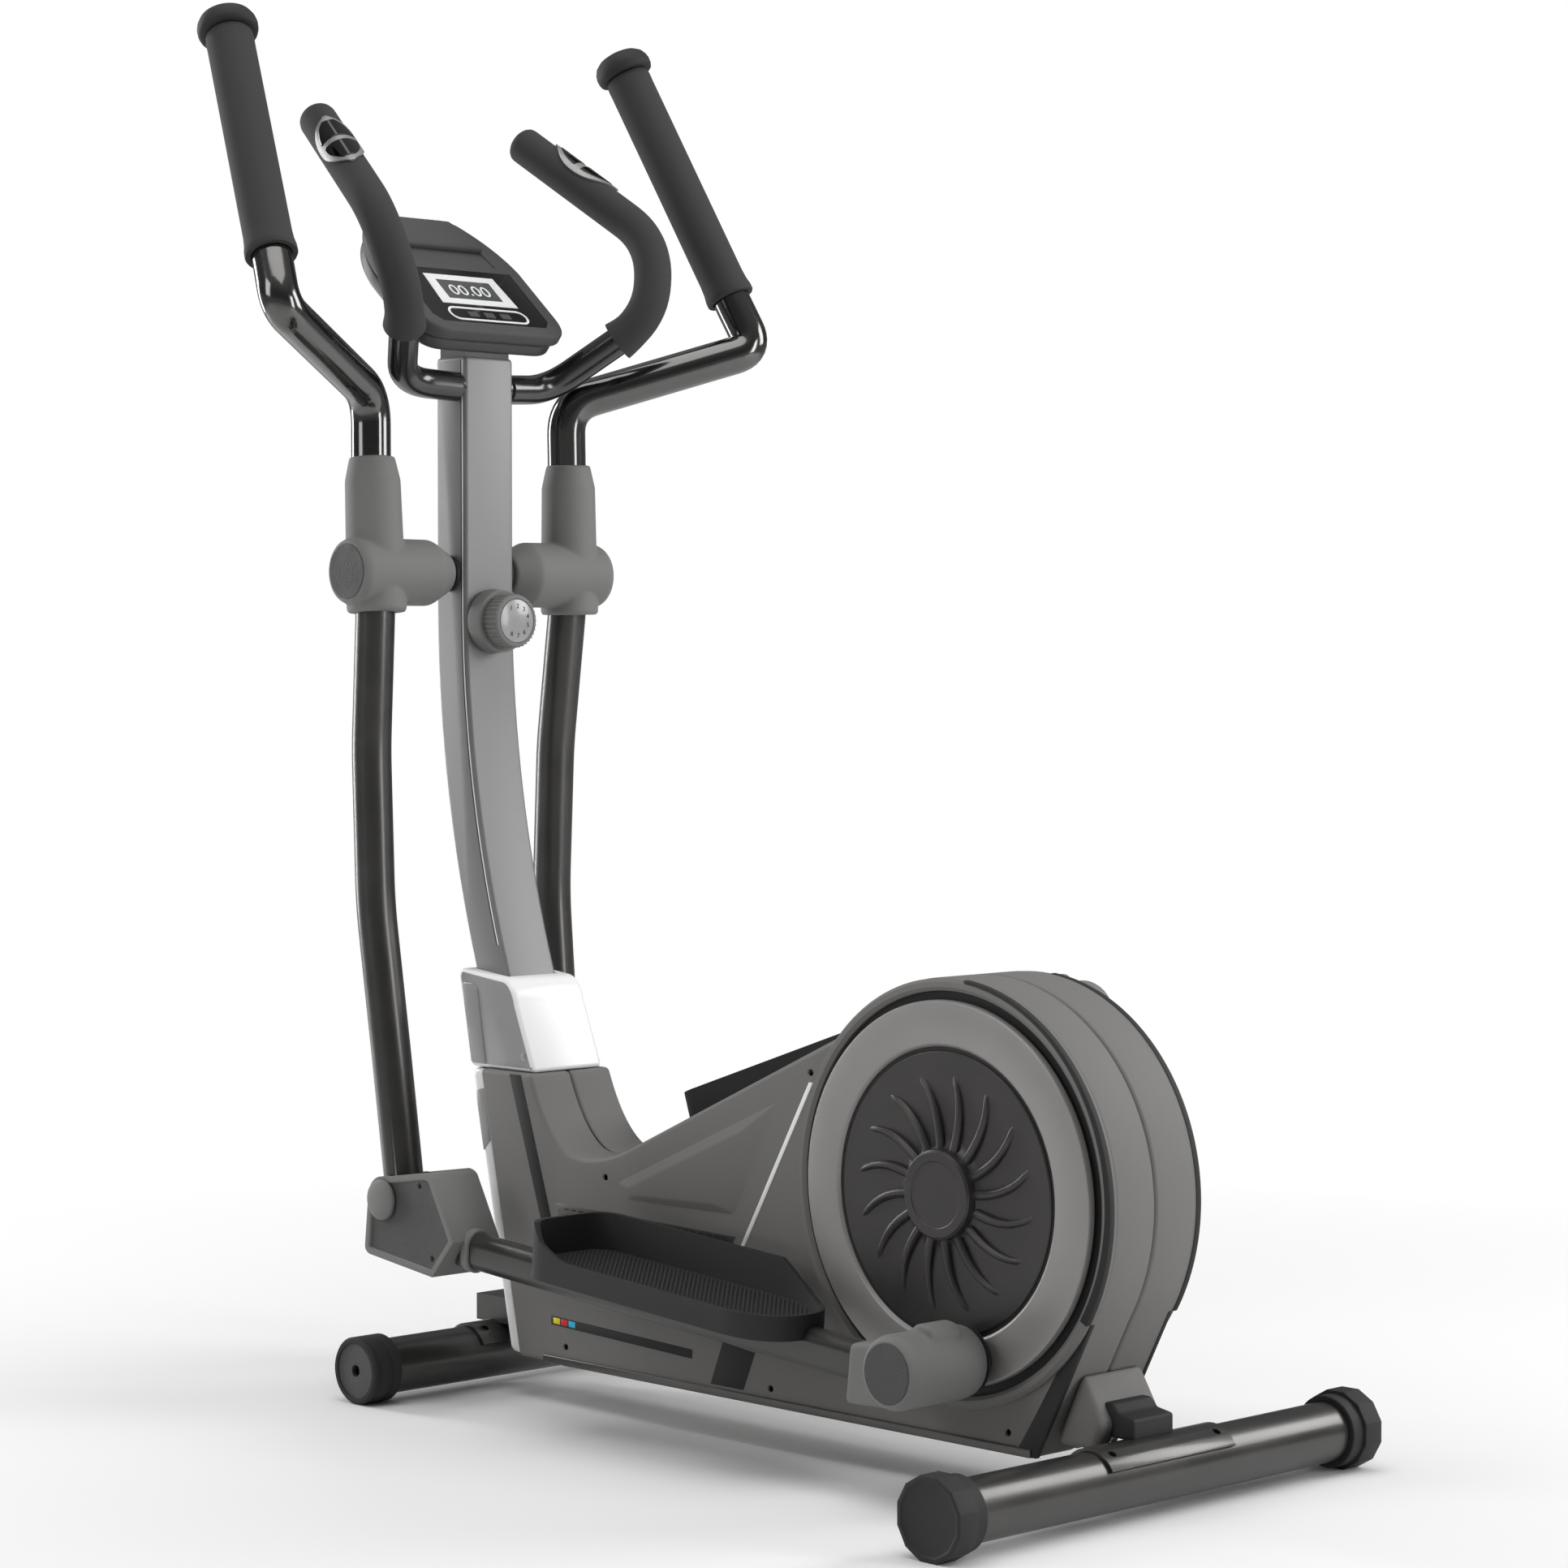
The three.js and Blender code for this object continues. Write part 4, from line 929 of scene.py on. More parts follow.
# ---------------------------------------------------------------- stabilisers, feet and saddles
@dataclass
class Base:
    """The two floor tubes with their saddles, turning rear caps and front rollers."""

    tube: float = 31.0
    rear_half: float = 305.0
    front_half: float = 214.0
    cap: float = 41.6
    roller: float = 37.6
    plate: float = 3.6
    bolt: float = 4.5

    def build(self) -> None:
        """Builds every piece of the base."""
        rear, front = drawn(REAR_TUBE), drawn(FRONT_TUBE)
        self._tube("rear", rear, self.rear_half)
        self._tube("front", front, self.front_half)
        self._saddle("rear", rear, 92.0, 62.0)
        self._saddle("front", front, 62.0, 66.0)
        for side in Side:
            self._cap(side, rear)
            self._roller(side, front)

    def _tube(self, end: str, place: Flat, half: float) -> None:
        """Builds a floor tube with softly rounded ends.

        Args:
            end: front or rear.
            place: where its axis lies in the drawing.
            half: half of its length.
        """
        rim = self.tube - 2
        profile = [(rim, -half), (self.tube, -half + 2), (self.tube, half - 2), (rim, half)]
        piece = side_round(profile, Side.RIGHT, *place)
        finished(piece, f"{end}_floor_tube", "frame", FRAME_PAINT, (f"{end}_stabilizer",))

    def _saddle(self, end: str, place: Flat, half: float, spread: float) -> None:
        """Builds a curved mounting plate with bolt holes, lying on a floor tube.

        Args:
            end: front or rear.
            place: where the tube's axis lies in the drawing.
            half: half of the plate's width.
            spread: how far it reaches down each side of the tube, in degrees.
        """
        x, z = place
        outer = arc(x, z, self.tube + self.plate, 90 - spread, 90 + spread)
        inner = arc(x, z, self.tube + 0.35, 90 + spread, 90 - spread)
        piece = Bench.side_plate(outer + inner, Side.RIGHT, -half, half)
        for y in (14 - half, half - 14):
            for turn in (math.radians(60), math.radians(120)):
                out = (math.cos(turn), 0.0, math.sin(turn))
                hole = Bench.turned([(self.bolt, 0), (self.bolt, 20)], 24)
                Bench.cut(piece, lifted(hole, (x + 24 * out[0], y, z + 24 * out[2]), out))
        Bench.rounded(piece, 1.0, 3)
        finished(piece, f"{end}_tube_saddle", "frame", FRAME_PAINT, (f"{end}_saddle",))

    def _cap(self, side: Side, place: Flat) -> None:
        """Builds a twelve-sided levelling cap with a collar and a textured end.

        Args:
            side: the side that it is on.
            place: where its axis lies in the drawing.
        """
        head = Bench.turned([(self.cap, 289), (self.cap, 315)], 12)
        Bench.moved(head, Matrix.Rotation(math.radians(15), 4, "Z"))
        panel(head, (0, 0, 1), 5.0, 1.5)
        Bench.rounded(head, 2.5, 3, 25)
        collar = Bench.turned([(31.4, 273), (36, 273), (37, 274), (37, 292), (31.4, 292), (31.4, 273)])
        piece = Bench.along_y(Bench.joined(head, collar), side, *place)
        finished(piece, f"rear_cap_{side.label}_fine", f"{side.label}_rear_foot", BLACK,
                 (f"rear_cap_{side.label}",), accents=(TEXTURED,))

    def _roller(self, side: Side, place: Flat) -> None:
        """Builds a transport roller: a ribbed black band with a grey face and a centre hole.

        Args:
            side: the side that it is on.
            place: where its axis lies in the drawing.
        """
        full, waist = self.roller, self.roller - 1
        profile = [(31.4, 184), (full - 1.5, 184), (full, 185.5), (full, 196), (waist, 197), (waist, 199),
                   (full, 200), (full, 213), (waist, 214), (waist, 216), (full, 217), (full, 221),
                   (full - 2.5, 223.5), (31, 223.5), (30, 221.5), (7, 221.5), (6, 220.5), (6, 216),
                   (31.4, 215), (31.4, 184)]
        piece = side_round(profile, side, *place)
        mark(piece, lambda face: abs(face.normal.y) > 0.9 and 219 < abs(face.center.y) < 222.5)
        finished(piece, f"front_roller_{side.label}_fine", f"{side.label}_roller", RUBBER,
                 (f"front_roller_{side.label}",), accents=(TEXTURED,))


# ---------------------------------------------------------------- mast and neck
@dataclass
class Mast:
    """The bent mast, its white collar, the white front strip and the arm axle."""

    x: float = -464.0
    half_depth: float = 27.0
    half: float = 36.0
    bend_top: float = 900.0
    bend: float = 1300.0
    foot: float = 332.0
    top: float = 1180.0
    room: float = 36.6
    neck: float = 52.0

    def outline(self, low: float, high: float, half_depth: float) -> list[Flat]:
        """Gives the side outline of a stretch of the mast.

        Args:
            low: its lowest height.
            high: its highest height.
            half_depth: half of its depth.

        Returns:
            The outline's points.
        """
        first = math.asin((self.bend_top - low) / self.bend)
        last = math.asin(max(0.0, self.bend_top - high) / self.bend)
        front, rear = [], []
        for i in range(25):
            turn = first + (last - first) * i / 24
            for points, reach in ((front, self.bend + half_depth), (rear, self.bend - half_depth)):
                x = self.x + self.bend - reach * math.cos(turn)
                points.append((x, self.bend_top - reach * math.sin(turn)))
        if high > self.bend_top:
            front.append((self.x - half_depth, high))
            rear.append((self.x + half_depth, high))
        return front + rear[::-1]

    def build(self) -> None:
        """Builds the mast, the collar, the front strip and the axle."""
        outline = self.outline(self.foot, self.top, self.half_depth)
        post = Bench.side_plate(outline, Side.RIGHT, -self.half, self.half)
        Bench.rounded(post, 5.0, 4)
        finished(post, "mast_post", "frame", MAST_PAINT, ("mast",))
        for side in Side:
            self._trim(side)
        self._collar()
        self._strip()
        shaft = side_round([(11, -160), (12.8, -158), (12.8, 158), (11, 160)], Side.RIGHT, *drawn(TEE), 48)
        ring = [(14, 36.4), (19.5, 36.4), (21, 38), (21, 42), (17, 43), (17, 59), (16, 60), (12.9, 60)]
        for side in Side:
            shaft = Bench.joined(shaft, side_round(ring, side, *drawn(TEE), 48))
        finished(shaft, "arm_axle_fine", "frame", BLACK, ("arm_axle",))

    def _trim(self, side: Side) -> None:
        """Builds the thin black and white edge lines down one side of the mast; the white line is a painted
        highlight along the rounded rear edge.

        Args:
            side: the side that they are on.
        """
        # The white line is a painted highlight on the mast's rear edge; the black line runs beside it.
        for name, offset, slot, finish in (("white", -20.5, Slot.WHITE, WHITE),
                                           ("black", -18.3, Slot.BLACK, BLACK)):
            line = self.outline(500.0, 1176.0, offset)
            edge = line[:len(line) // 2]
            wide = [(x + 1.6, z) for x, z in edge]
            strip = Bench.side_plate(edge + wide[::-1], side, self.half - 0.4, self.half + 0.25)
            finished(strip, f"mast_{name}_line_{side.label}", "frame", finish)

    @staticmethod
    def nose(z: float) -> float:
        """Gives where the sloping front of the housing lies at a height."""
        return -348.0 - 0.211 * (z - 64.0)

    def _slant(self, low: float, high: float, first: float, last: float) -> list[Flat]:
        """Gives a slanted outline behind the housing's sloping front.

        Args:
            low: its lowest height.
            high: its highest height.
            first: how far behind the front it starts.
            last: how far behind the front it ends.

        Returns:
            Its four corners.
        """
        start, end = self.nose(low), self.nose(high)
        return [(start + first, low), (start + last, low), (end + last, high), (end + first, high)]

    def _collar(self) -> None:
        """Builds the white collar that closes the foot of the mast; its side faces and raised side panels
        are painted pale grey as painted shade on the collar's shaded sides.
        """
        foot = 366.4
        outline = [(self.nose(foot), foot), (-299.0, foot), (-330.0, 441.0)]
        outline += bend((-330, 441), (-336, 466), (-352, 470)) + [(-424.0, 478.0)]
        outline += bend((-424, 478), (self.nose(478), 478), (self.nose(466), 466))
        piece = Bench.side_plate(outline, Side.RIGHT, -self.neck, self.neck)
        room = self.outline(280.0, 560.0, self.half_depth + 1)
        Bench.rounded(piece, 7.0, 5)
        Bench.cut(piece, Bench.side_plate(room, Side.RIGHT, -self.room, self.room))
        for side in Side:
            Bench.cut(piece, side_round([(4.5, 46), (4.5, 60)], side, -318.0, 384.0, 32))
        # The side faces take the pale accent: painted shade on the white collar's sides.
        mark(piece, lambda face: abs(face.normal.y) > 0.9)
        finished(piece, "neck_collar_fine", "frame", WHITE, ("neck_collar",), accents=(PALE,))
        # The raised side panels are pale grey too: painted shade, like the side faces.
        for side in Side:
            low, high = 372.0, 462.0
            face = [(self.nose(low) + 4, low), (self.nose(low) + 30, low), (self.nose(high) + 34, high - 6),
                    (self.nose(high) + 26, high), (self.nose(high) + 6, high)]
            flap = Bench.rounded(Bench.side_plate(face, side, 50.0, 53.4), 1.2, 3)
            finished(flap, f"collar_panel_{side.label}", "frame", PALE)

    def _strip(self) -> None:
        """Builds the white strip down the sloping front, with a pale patch on each side."""
        low, high = 46.0, 366.0
        outline = self._slant(low, high, 0, 26)
        piece = Bench.rounded(Bench.side_plate(outline, Side.RIGHT, -self.neck, self.neck), 9.0, 6)
        hollow = self._slant(low - 16, high + 34, 5, 60)
        Bench.cut(piece, Bench.side_plate(hollow, Side.RIGHT, 5 - self.neck, self.neck - 5))
        finished(piece, "front_strip", "frame", WHITE, ("front_cover",))
        for side in Side:
            patch = [(self.nose(340) + 4, 340), (self.nose(340) + 22, 344), (self.nose(272) + 22, 290),
                     (self.nose(272) + 4, 272)]
            grip = Bench.rounded(Bench.side_plate(patch, side, 51.4, 52.5), 0.5, 2)
            finished(grip, f"strip_patch_{side.label}", "frame", PALE)


# ---------------------------------------------------------------- crank housing
@dataclass
class Housing:
    """The two housing shells round the drive, with everything set into their sides."""

    half: float = 60.0
    wall: float = 3.0
    floor: float = 46.0
    seam: float = 366.0
    drum: float = 216.0
    rail: float = 26.0
    vent_rows: int = 3
    vent_columns: int = 22
    crank: Flat = drawn(CRANK)

    def outline(self, inset: float) -> list[Flat]:
        """Gives the side outline of the shells.

        Args:
            inset: how far it is drawn in, for the wall's inner face.

        Returns:
            The outline's points.
        """
        front = 26.4 + inset
        low, high = self.floor + inset, self.seam - inset
        dip = (-116 + inset * 0.4, 304 - inset)
        shoulder = (-236 - inset * 0.6, 284 - inset * 0.4)
        points = [(Mast.nose(low) + front, low), (468 - inset, low)]
        points += arc(*self.crank, self.drum - inset, -31, 137, 72) + [dip]
        points += bend(dip, (-190, 268 - inset), shoulder, 12)
        points += bend(shoulder, (-272 - inset, 302), (-297 - inset, high), 12)
        return points + [(Mast.nose(high) + front, high)]

    def build(self) -> None:
        """Builds both shells and their side details."""
        for side in Side:
            self._shell(side)
            self._gap(side)
            self._marks(side)
            self._vents(side)
        self._tube_cover()

    def _gap(self, side: Side) -> None:
        """Builds the dark shadow ring behind the crank disc's rim."""
        # A thin black ring: painted shadow in the gap between the disc's rim and the shell.
        ring = [(188, 60.1), (202.8, 60.1), (202.8, 60.9), (188, 60.9), (188, 60.1)]
        shadow_ring = side_round(ring, side, *self.crank, 128)
        finished(shadow_ring, f"disc_gap_{side.label}", "frame", BLACK)

    def _shell(self, side: Side) -> None:
        """Builds one hollow shell with its drum rim and screw holes, its raised panel and its flange.

        Args:
            side: the side that it is on.
        """
        shell = Bench.side_plate(self.outline(0.0), side, 0.0, self.half)
        Bench.rounded(shell, 5.0, 4, 60)
        Bench.cut(shell, Bench.side_plate(self.outline(self.wall), side, -1.0, self.half - self.wall))
        rim = [(-13, 56), (-0.5, 56), (-0.5, 64), (-4, 68), (-9, 68), (-13, 65), (-13, 56)]
        rim = [(self.drum + step, y) for step, y in rim]
        Bench.fuse(shell, side_round(rim, side, *self.crank, 128))
        Bench.cut(shell, side_round([(50, -2), (50, 80)], side, *self.crank, 64))
        rail = Bench.side_plate(box(-520, 640, 62, 106), side, -2.0, self.rail)
        top = Bench.side_plate(box(-420, -303, 350, 380), side, -2.0, 37.0)
        Bench.cut(shell, rail, top)
        for x, z in ((-170, 262), (152, 402), (-237, 66), (92, 64), (431, 66)):
            Bench.cut(shell, side_round([(3.5, 50), (3.5, 59), (5, 60.5), (5, 62)], side, x, z, 32))
        finished(shell, f"housing_shell_{side.label}", "frame", HOUSING,
                 (f"{side.label}_cover",), smooth=28.0)
        low = [(-160, 260), (126, 384), (50, 238), (-138, 239)]
        top = [(-128, 255), (54, 334), (10, 251), (-122, 247)]
        pad = Bench.side_plate(low, side, 58.0, 64.0)
        for vertex in pad.data.vertices:
            if abs(vertex.co.y) > 60:
                nearest = min(range(4), key=lambda i: (Vector(low[i]) - vertex.co.xz).length)
                vertex.co.x, vertex.co.z = top[nearest]
        Bench.rounded(pad, 2.0, 4, 12)
        finished(pad, f"housing_panel_{side.label}", "frame", HOUSING, smooth=50.0)
        flange = [(-272, 45.2), (463, 45.2), (463, 54), (-274, 54)]
        foot = Bench.rounded(Bench.side_plate(flange, side, 58.0, 62.5), 1.2, 3)
        finished(foot, f"base_flange_{side.label}", "frame", HOUSING_LIGHT)

    def _marks(self, side: Side) -> None:
        """Builds the coloured inlays on one side, the drum's dark edge and its heel.

        Args:
            side: the side that they are on.
        """
        flats = {
            "nose_stripe": ([(-333, 364), (-313, 364), (-258, 200), (-277, 200)], BLACK, Slot.BLACK),
            "slant_line": ([(150, 392), (156, 392), (50, 205), (44, 205)], WHITE, Slot.WHITE),
            "tag": ([(-261, 99), (-29, 90), (-29, 80), (-261, 89)], BLACK, Slot.BLACK),
            "low_block": ([(0, 57), (51, 57), (69, 99), (19, 104)], BLACK, Slot.BLACK),
        }
        for i, finish in enumerate((YELLOW, RED, CYAN)):
            x = -257 + 13 * i
            chip = [(x, 97.2 - i / 2), (x + 11, 96.8 - i / 2), (x + 11, 90.2 - i / 2), (x, 90.6 - i / 2)]
            flats[f"tag_chip_{i + 1}"] = (chip, finish, Slot.WHITE)
        for name, (outline, finish, slot) in flats.items():
            proud = 0.55 if "chip" in name else 0.3
            inlay = Bench.side_plate(outline, side, self.half - 0.6, self.half + proud)
            Bench.rounded(inlay, 0.15, 2)
            finished(inlay, f"{name}_{side.label}", "frame", finish)
        outer = arc(*self.crank, self.drum + 0.3, -31, 84, 60)
        inner = []
        for i in range(61):
            share = i / 60
            inner.append(arc(*self.crank, self.drum - 2.5 - 6.5 * share, 84 - 115 * share, 0, 1)[0])
        band = Bench.side_plate(outer + inner, side, 61.0, 68.3)
        heel = [(541, 186), (469, 45.5), (440, 45.5), (470, 92), (530, 190)]
        band = Bench.joined(band, Bench.side_plate(heel, side, 55.0, 60.5))
        finished(Bench.rounded(band, 0.8, 2), f"drum_edge_band_{side.label}", "frame", BLACK)

    def _vents(self, side: Side) -> None:
        """Builds the pale field with its rows of short vent slots; the slots are raised black dashes that
        paint the shade inside them.

        Args:
            side: the side that it is on.
        """
        plate = [(-252, 226), (39, 219), (29, 204), (-246, 203)]
        field = Bench.rounded(Bench.side_plate(plate, side, self.half - 1.0, self.half + 0.5), 0.4, 2)
        finished(field, f"vent_field_{side.label}", "frame", HOUSING_LIGHT)
        # Black dashes stand for the slots: painted shade where the holes would be dark inside.
        slot_shades = []
        for row in range(self.vent_rows):
            for column in range(self.vent_columns):
                x = -238 + 12.2 * column + row * 2
                z = 221.5 - 6.6 * row - 0.2 * column * (1 if row == 0 else 0)
                dash = [(x, z), (x + 7.4, z - 0.1), (x + 7.4, z - 1.7), (x, z - 1.6)]
                slot_shades.append(Bench.side_plate(dash, side, self.half - 0.5, self.half + 0.65))
        strip = Bench.joined(*slot_shades)
        finished(strip, f"vent_slots_{side.label}", "frame", BLACK)

    def _tube_cover(self) -> None:
        """Builds the soft-edged wedge over the rear floor tube, and the shroud under it."""
        wedge = [(514, 134), (543, 86), (532, 60), (481, 60), (491, 84)]
        piece = Bench.rounded(Bench.side_plate(wedge, Side.RIGHT, -46.0, 46.0), 8.0, 5)
        Bench.cut(piece, Bench.side_plate(box(430, 640, 20, 104), Side.RIGHT, -self.rail, self.rail))
        Bench.cut(piece, side_round([(36, -70), (36, 70)], Side.RIGHT, *drawn(REAR_TUBE)))
        finished(piece, "rear_wedge", "frame", HOUSING, ("rear_tube_cover",), smooth=50.0)
        shroud = [(500, 72.5), (569, 72.5), (569, 93.5), (549, 97), (541, 106), (500, 106)]
        tail = Bench.rounded(Bench.side_plate(shroud, Side.RIGHT, -30.0, 30.0), 3.0, 4)
        finished(tail, "tail_shroud", "frame", BLACK)


# ---------------------------------------------------------------- crank discs
@dataclass
class CrankDisc:
    """One crank disc: a satin ring, a dark insert with swept blades and a flat hub."""

    side: Side
    crank: Flat = drawn(CRANK)
    blades: int = 16

    def build(self) -> None:
        """Builds the ring, a black ring of painted shade in the groove round the insert, the insert with its
        blades, and the pin's collar.
        """
        ring = [(150, 63.5), (192, 63.5), (194, 65.5), (194, 71), (193, 73), (190.5, 73.7), (151.5, 73.7),
                (149.5, 73), (147.5, 70.5), (147.5, 68.7), (14, 68.7), (14, 58), (40, 57.5), (46, 63.5),
                (150, 63.5)]
        piece = side_round(ring, self.side, *self.crank, 160)
        finished(piece, f"crank_ring_{self.side.label}", "crank", RING,
                 (f"crank_disc_{self.side.label}",))
        face = [(142.5, 69.1), (143, 70.5), (141.5, 71.6), (60, 71.0), (50, 72.0), (46.5, 75), (45, 83.2),
                (42.5, 85.4), (34, 85.6), (33, 84.8), (5, 84.8)]
        insert = side_round(face, self.side, *self.crank, 128)
        # A thin black ring lies in the groove between the ring and the insert: painted shade in the groove.
        recess = [(142, 68.8), (147.3, 68.8), (147.3, 69.3), (142, 69.3), (142, 68.8)]
        shadow_ring = side_round(recess, self.side, *self.crank, 128)
        finished(shadow_ring, f"insert_gap_{self.side.label}", "crank", BLACK)
        blade = self._blade()
        wheel = [insert]
        for i in range(self.blades):
            copy = blade.copy()
            copy.data = blade.data.copy()
            bpy.context.collection.objects.link(copy)
            turn = Matrix.Rotation(math.tau * i / self.blades, 4, "Y")
            centre = Matrix.Translation((self.crank[0], 0, self.crank[1]))
            wheel.append(Bench.moved(copy, centre @ turn))
        bpy.data.objects.remove(blade)
        piece = Bench.joined(*wheel)
        finished(piece, f"disc_insert_{self.side.label}_fine", "crank", INSERT,
                 (f"disc_insert_{self.side.label}",))
        self._pin()

    def _blade(self) -> Piece:
        """Draws one swept blade that tapers to its tip.

        Returns:
            The blade that points up from the hub.
        """
        path, swell = [], []
        for i in range(13):
            share = i / 12
            turn = math.radians(4 + 13 * share * share)
            reach = 44 + 76 * share
            height = 68.8 + 4.2 * math.sin(math.pi * min(1.0, 0.35 + 0.6 * share))
            path.append((reach * math.sin(turn) * self.side, self.side * height, reach * math.cos(turn)))
            swell.append(1.0 - 0.35 * share if i < 12 else 0.25)
        return Bench.tube(path, 5.4, 6, swell)

    def _pin(self) -> None:
        """Builds the collar that holds the pedal bar's bearing."""
        x, z = (middle(f"crank_pin_{self.side.label}") - Vector((CENTRE, 0, 0))).xz / MM
        profile = [(22, 74.0), (24, 75), (24, 77), (18, 79), (15, 86.5), (10, 86.5)]
        collar = side_round(profile, self.side, x, z, 48)
        finished(collar, f"crank_pin_{self.side.label}_fine", "crank", BLACK,
                 (f"crank_pin_{self.side.label}",))


# ---------------------------------------------------------------- swinging arms
@dataclass
class Arm:
    """One swinging arm: lower and upper tube, tee cover, foam grip and mushroom cap."""

    side: Side
    plane: float = 145.0
    radius: float = 22.5
    length: float = 708.0

    def __post_init__(self) -> None:
        """Finds the arm's frame and its body."""
        self.datum = on_arm(self.side)
        self.body = f"{self.side.label}_arm"

    def build(self) -> None:
        """Builds the arm in its own frame, with its origin on the axle."""
        corners = [(0, 145, -700), (-13, 145, -548), (-29, 145, -377), (-23, 145, -200), (-2, 145, -30),
                   (-2, 142, 130), (-1, 139, 202), (109, 343, 274), (85, 332, 324), (-48, 278, 601)]
        radii = [500, 500, 500, 400, 200, 78, 70, 60]
        path = rounded_path([(x, y * self.side, z) for x, y, z in corners], radii)
        low = [point for point in path if point[2] < 8]
        high = [point for point in path if point[2] > -40]
        lower = Bench.tube(low, self.radius)
        eye = [(19, 124), (21, 126), (21, 164), (19, 166)]
        Bench.fuse(lower, side_round(eye, self.side, 0.0, -self.length, 48))
        finished(lower, f"lower_arm_{self.side.label}", self.body, FRAME_PAINT,
                 (f"arm_tube_{self.side.label}",), self.datum)
        upper = Bench.tube(high, self.radius)
        finished(upper, f"upper_arm_{self.side.label}", self.body, ARM_CHROME, (), self.datum)
        self._tee()
        self._grip()

    def _tee(self) -> None:
        """Builds the cast-looking cover round the axle, with soft fillets and textured end discs."""
        barrel = [(22, 46), (24, 47), (36, 69), (38, 74), (38.5, 178), (36, 184), (33, 186), (5, 186)]
        shell = side_round(barrel, self.side)
        column = Bench.turned([(32, -46), (34, -42), (31.5, 104), (26, 129), (24.5, 130.5)])
        lifted(column, (0, self.side * self.plane, 0), (0, -0.02 * self.side, 1))
        Bench.melted(Bench.joined(shell, column), 1.6, 5)
        finished(shell, f"tee_cover_{self.side.label}_fine", self.body, JOINT,
                 (f"tee_cover_{self.side.label}",), self.datum, 60.0)
        end = side_round([(31.5, 184), (31.5, 186.1), (30.5, 186.8), (3, 186.8)], self.side)
        finished(end, f"tee_end_{self.side.label}", self.body, TEXTURED, (), self.datum)

    def _grip(self) -> None:
        """Builds the foam sleeve and its mushroom cap."""
        start = Vector((85, 332 * self.side, 324))
        along = (Vector((-55, 275 * self.side, 615)) - start).normalized()
        foam = [(23.2, 12), (28.4, 12), (29.4, 14), (29.2, 20), (27.8, 28), (27.1, 40), (27, 160),
                (27, 300), (27.2, 310), (26.6, 316), (25, 318), (23.2, 318), (23.2, 12)]
        sleeve = lifted(Bench.turned(foam, 80), start, along)
        finished(sleeve, f"foam_grip_{self.side.label}", self.body, FOAM,
                 (f"arm_grip_{self.side.label}",), self.datum, 60.0)
        cap = [(22, 318.4), (30, 318.4), (33, 320), (34.2, 323.5), (34.5, 329), (33.4, 334), (30.5, 339.5),
               (25, 344), (17, 347), (8, 348.6), (2, 349)]
        knob = lifted(Bench.turned(cap, 80), start, along)
        finished(knob, f"grip_cap_{self.side.label}", self.body, BLACK,
                 (f"arm_knob_{self.side.label}",), self.datum, 60.0)


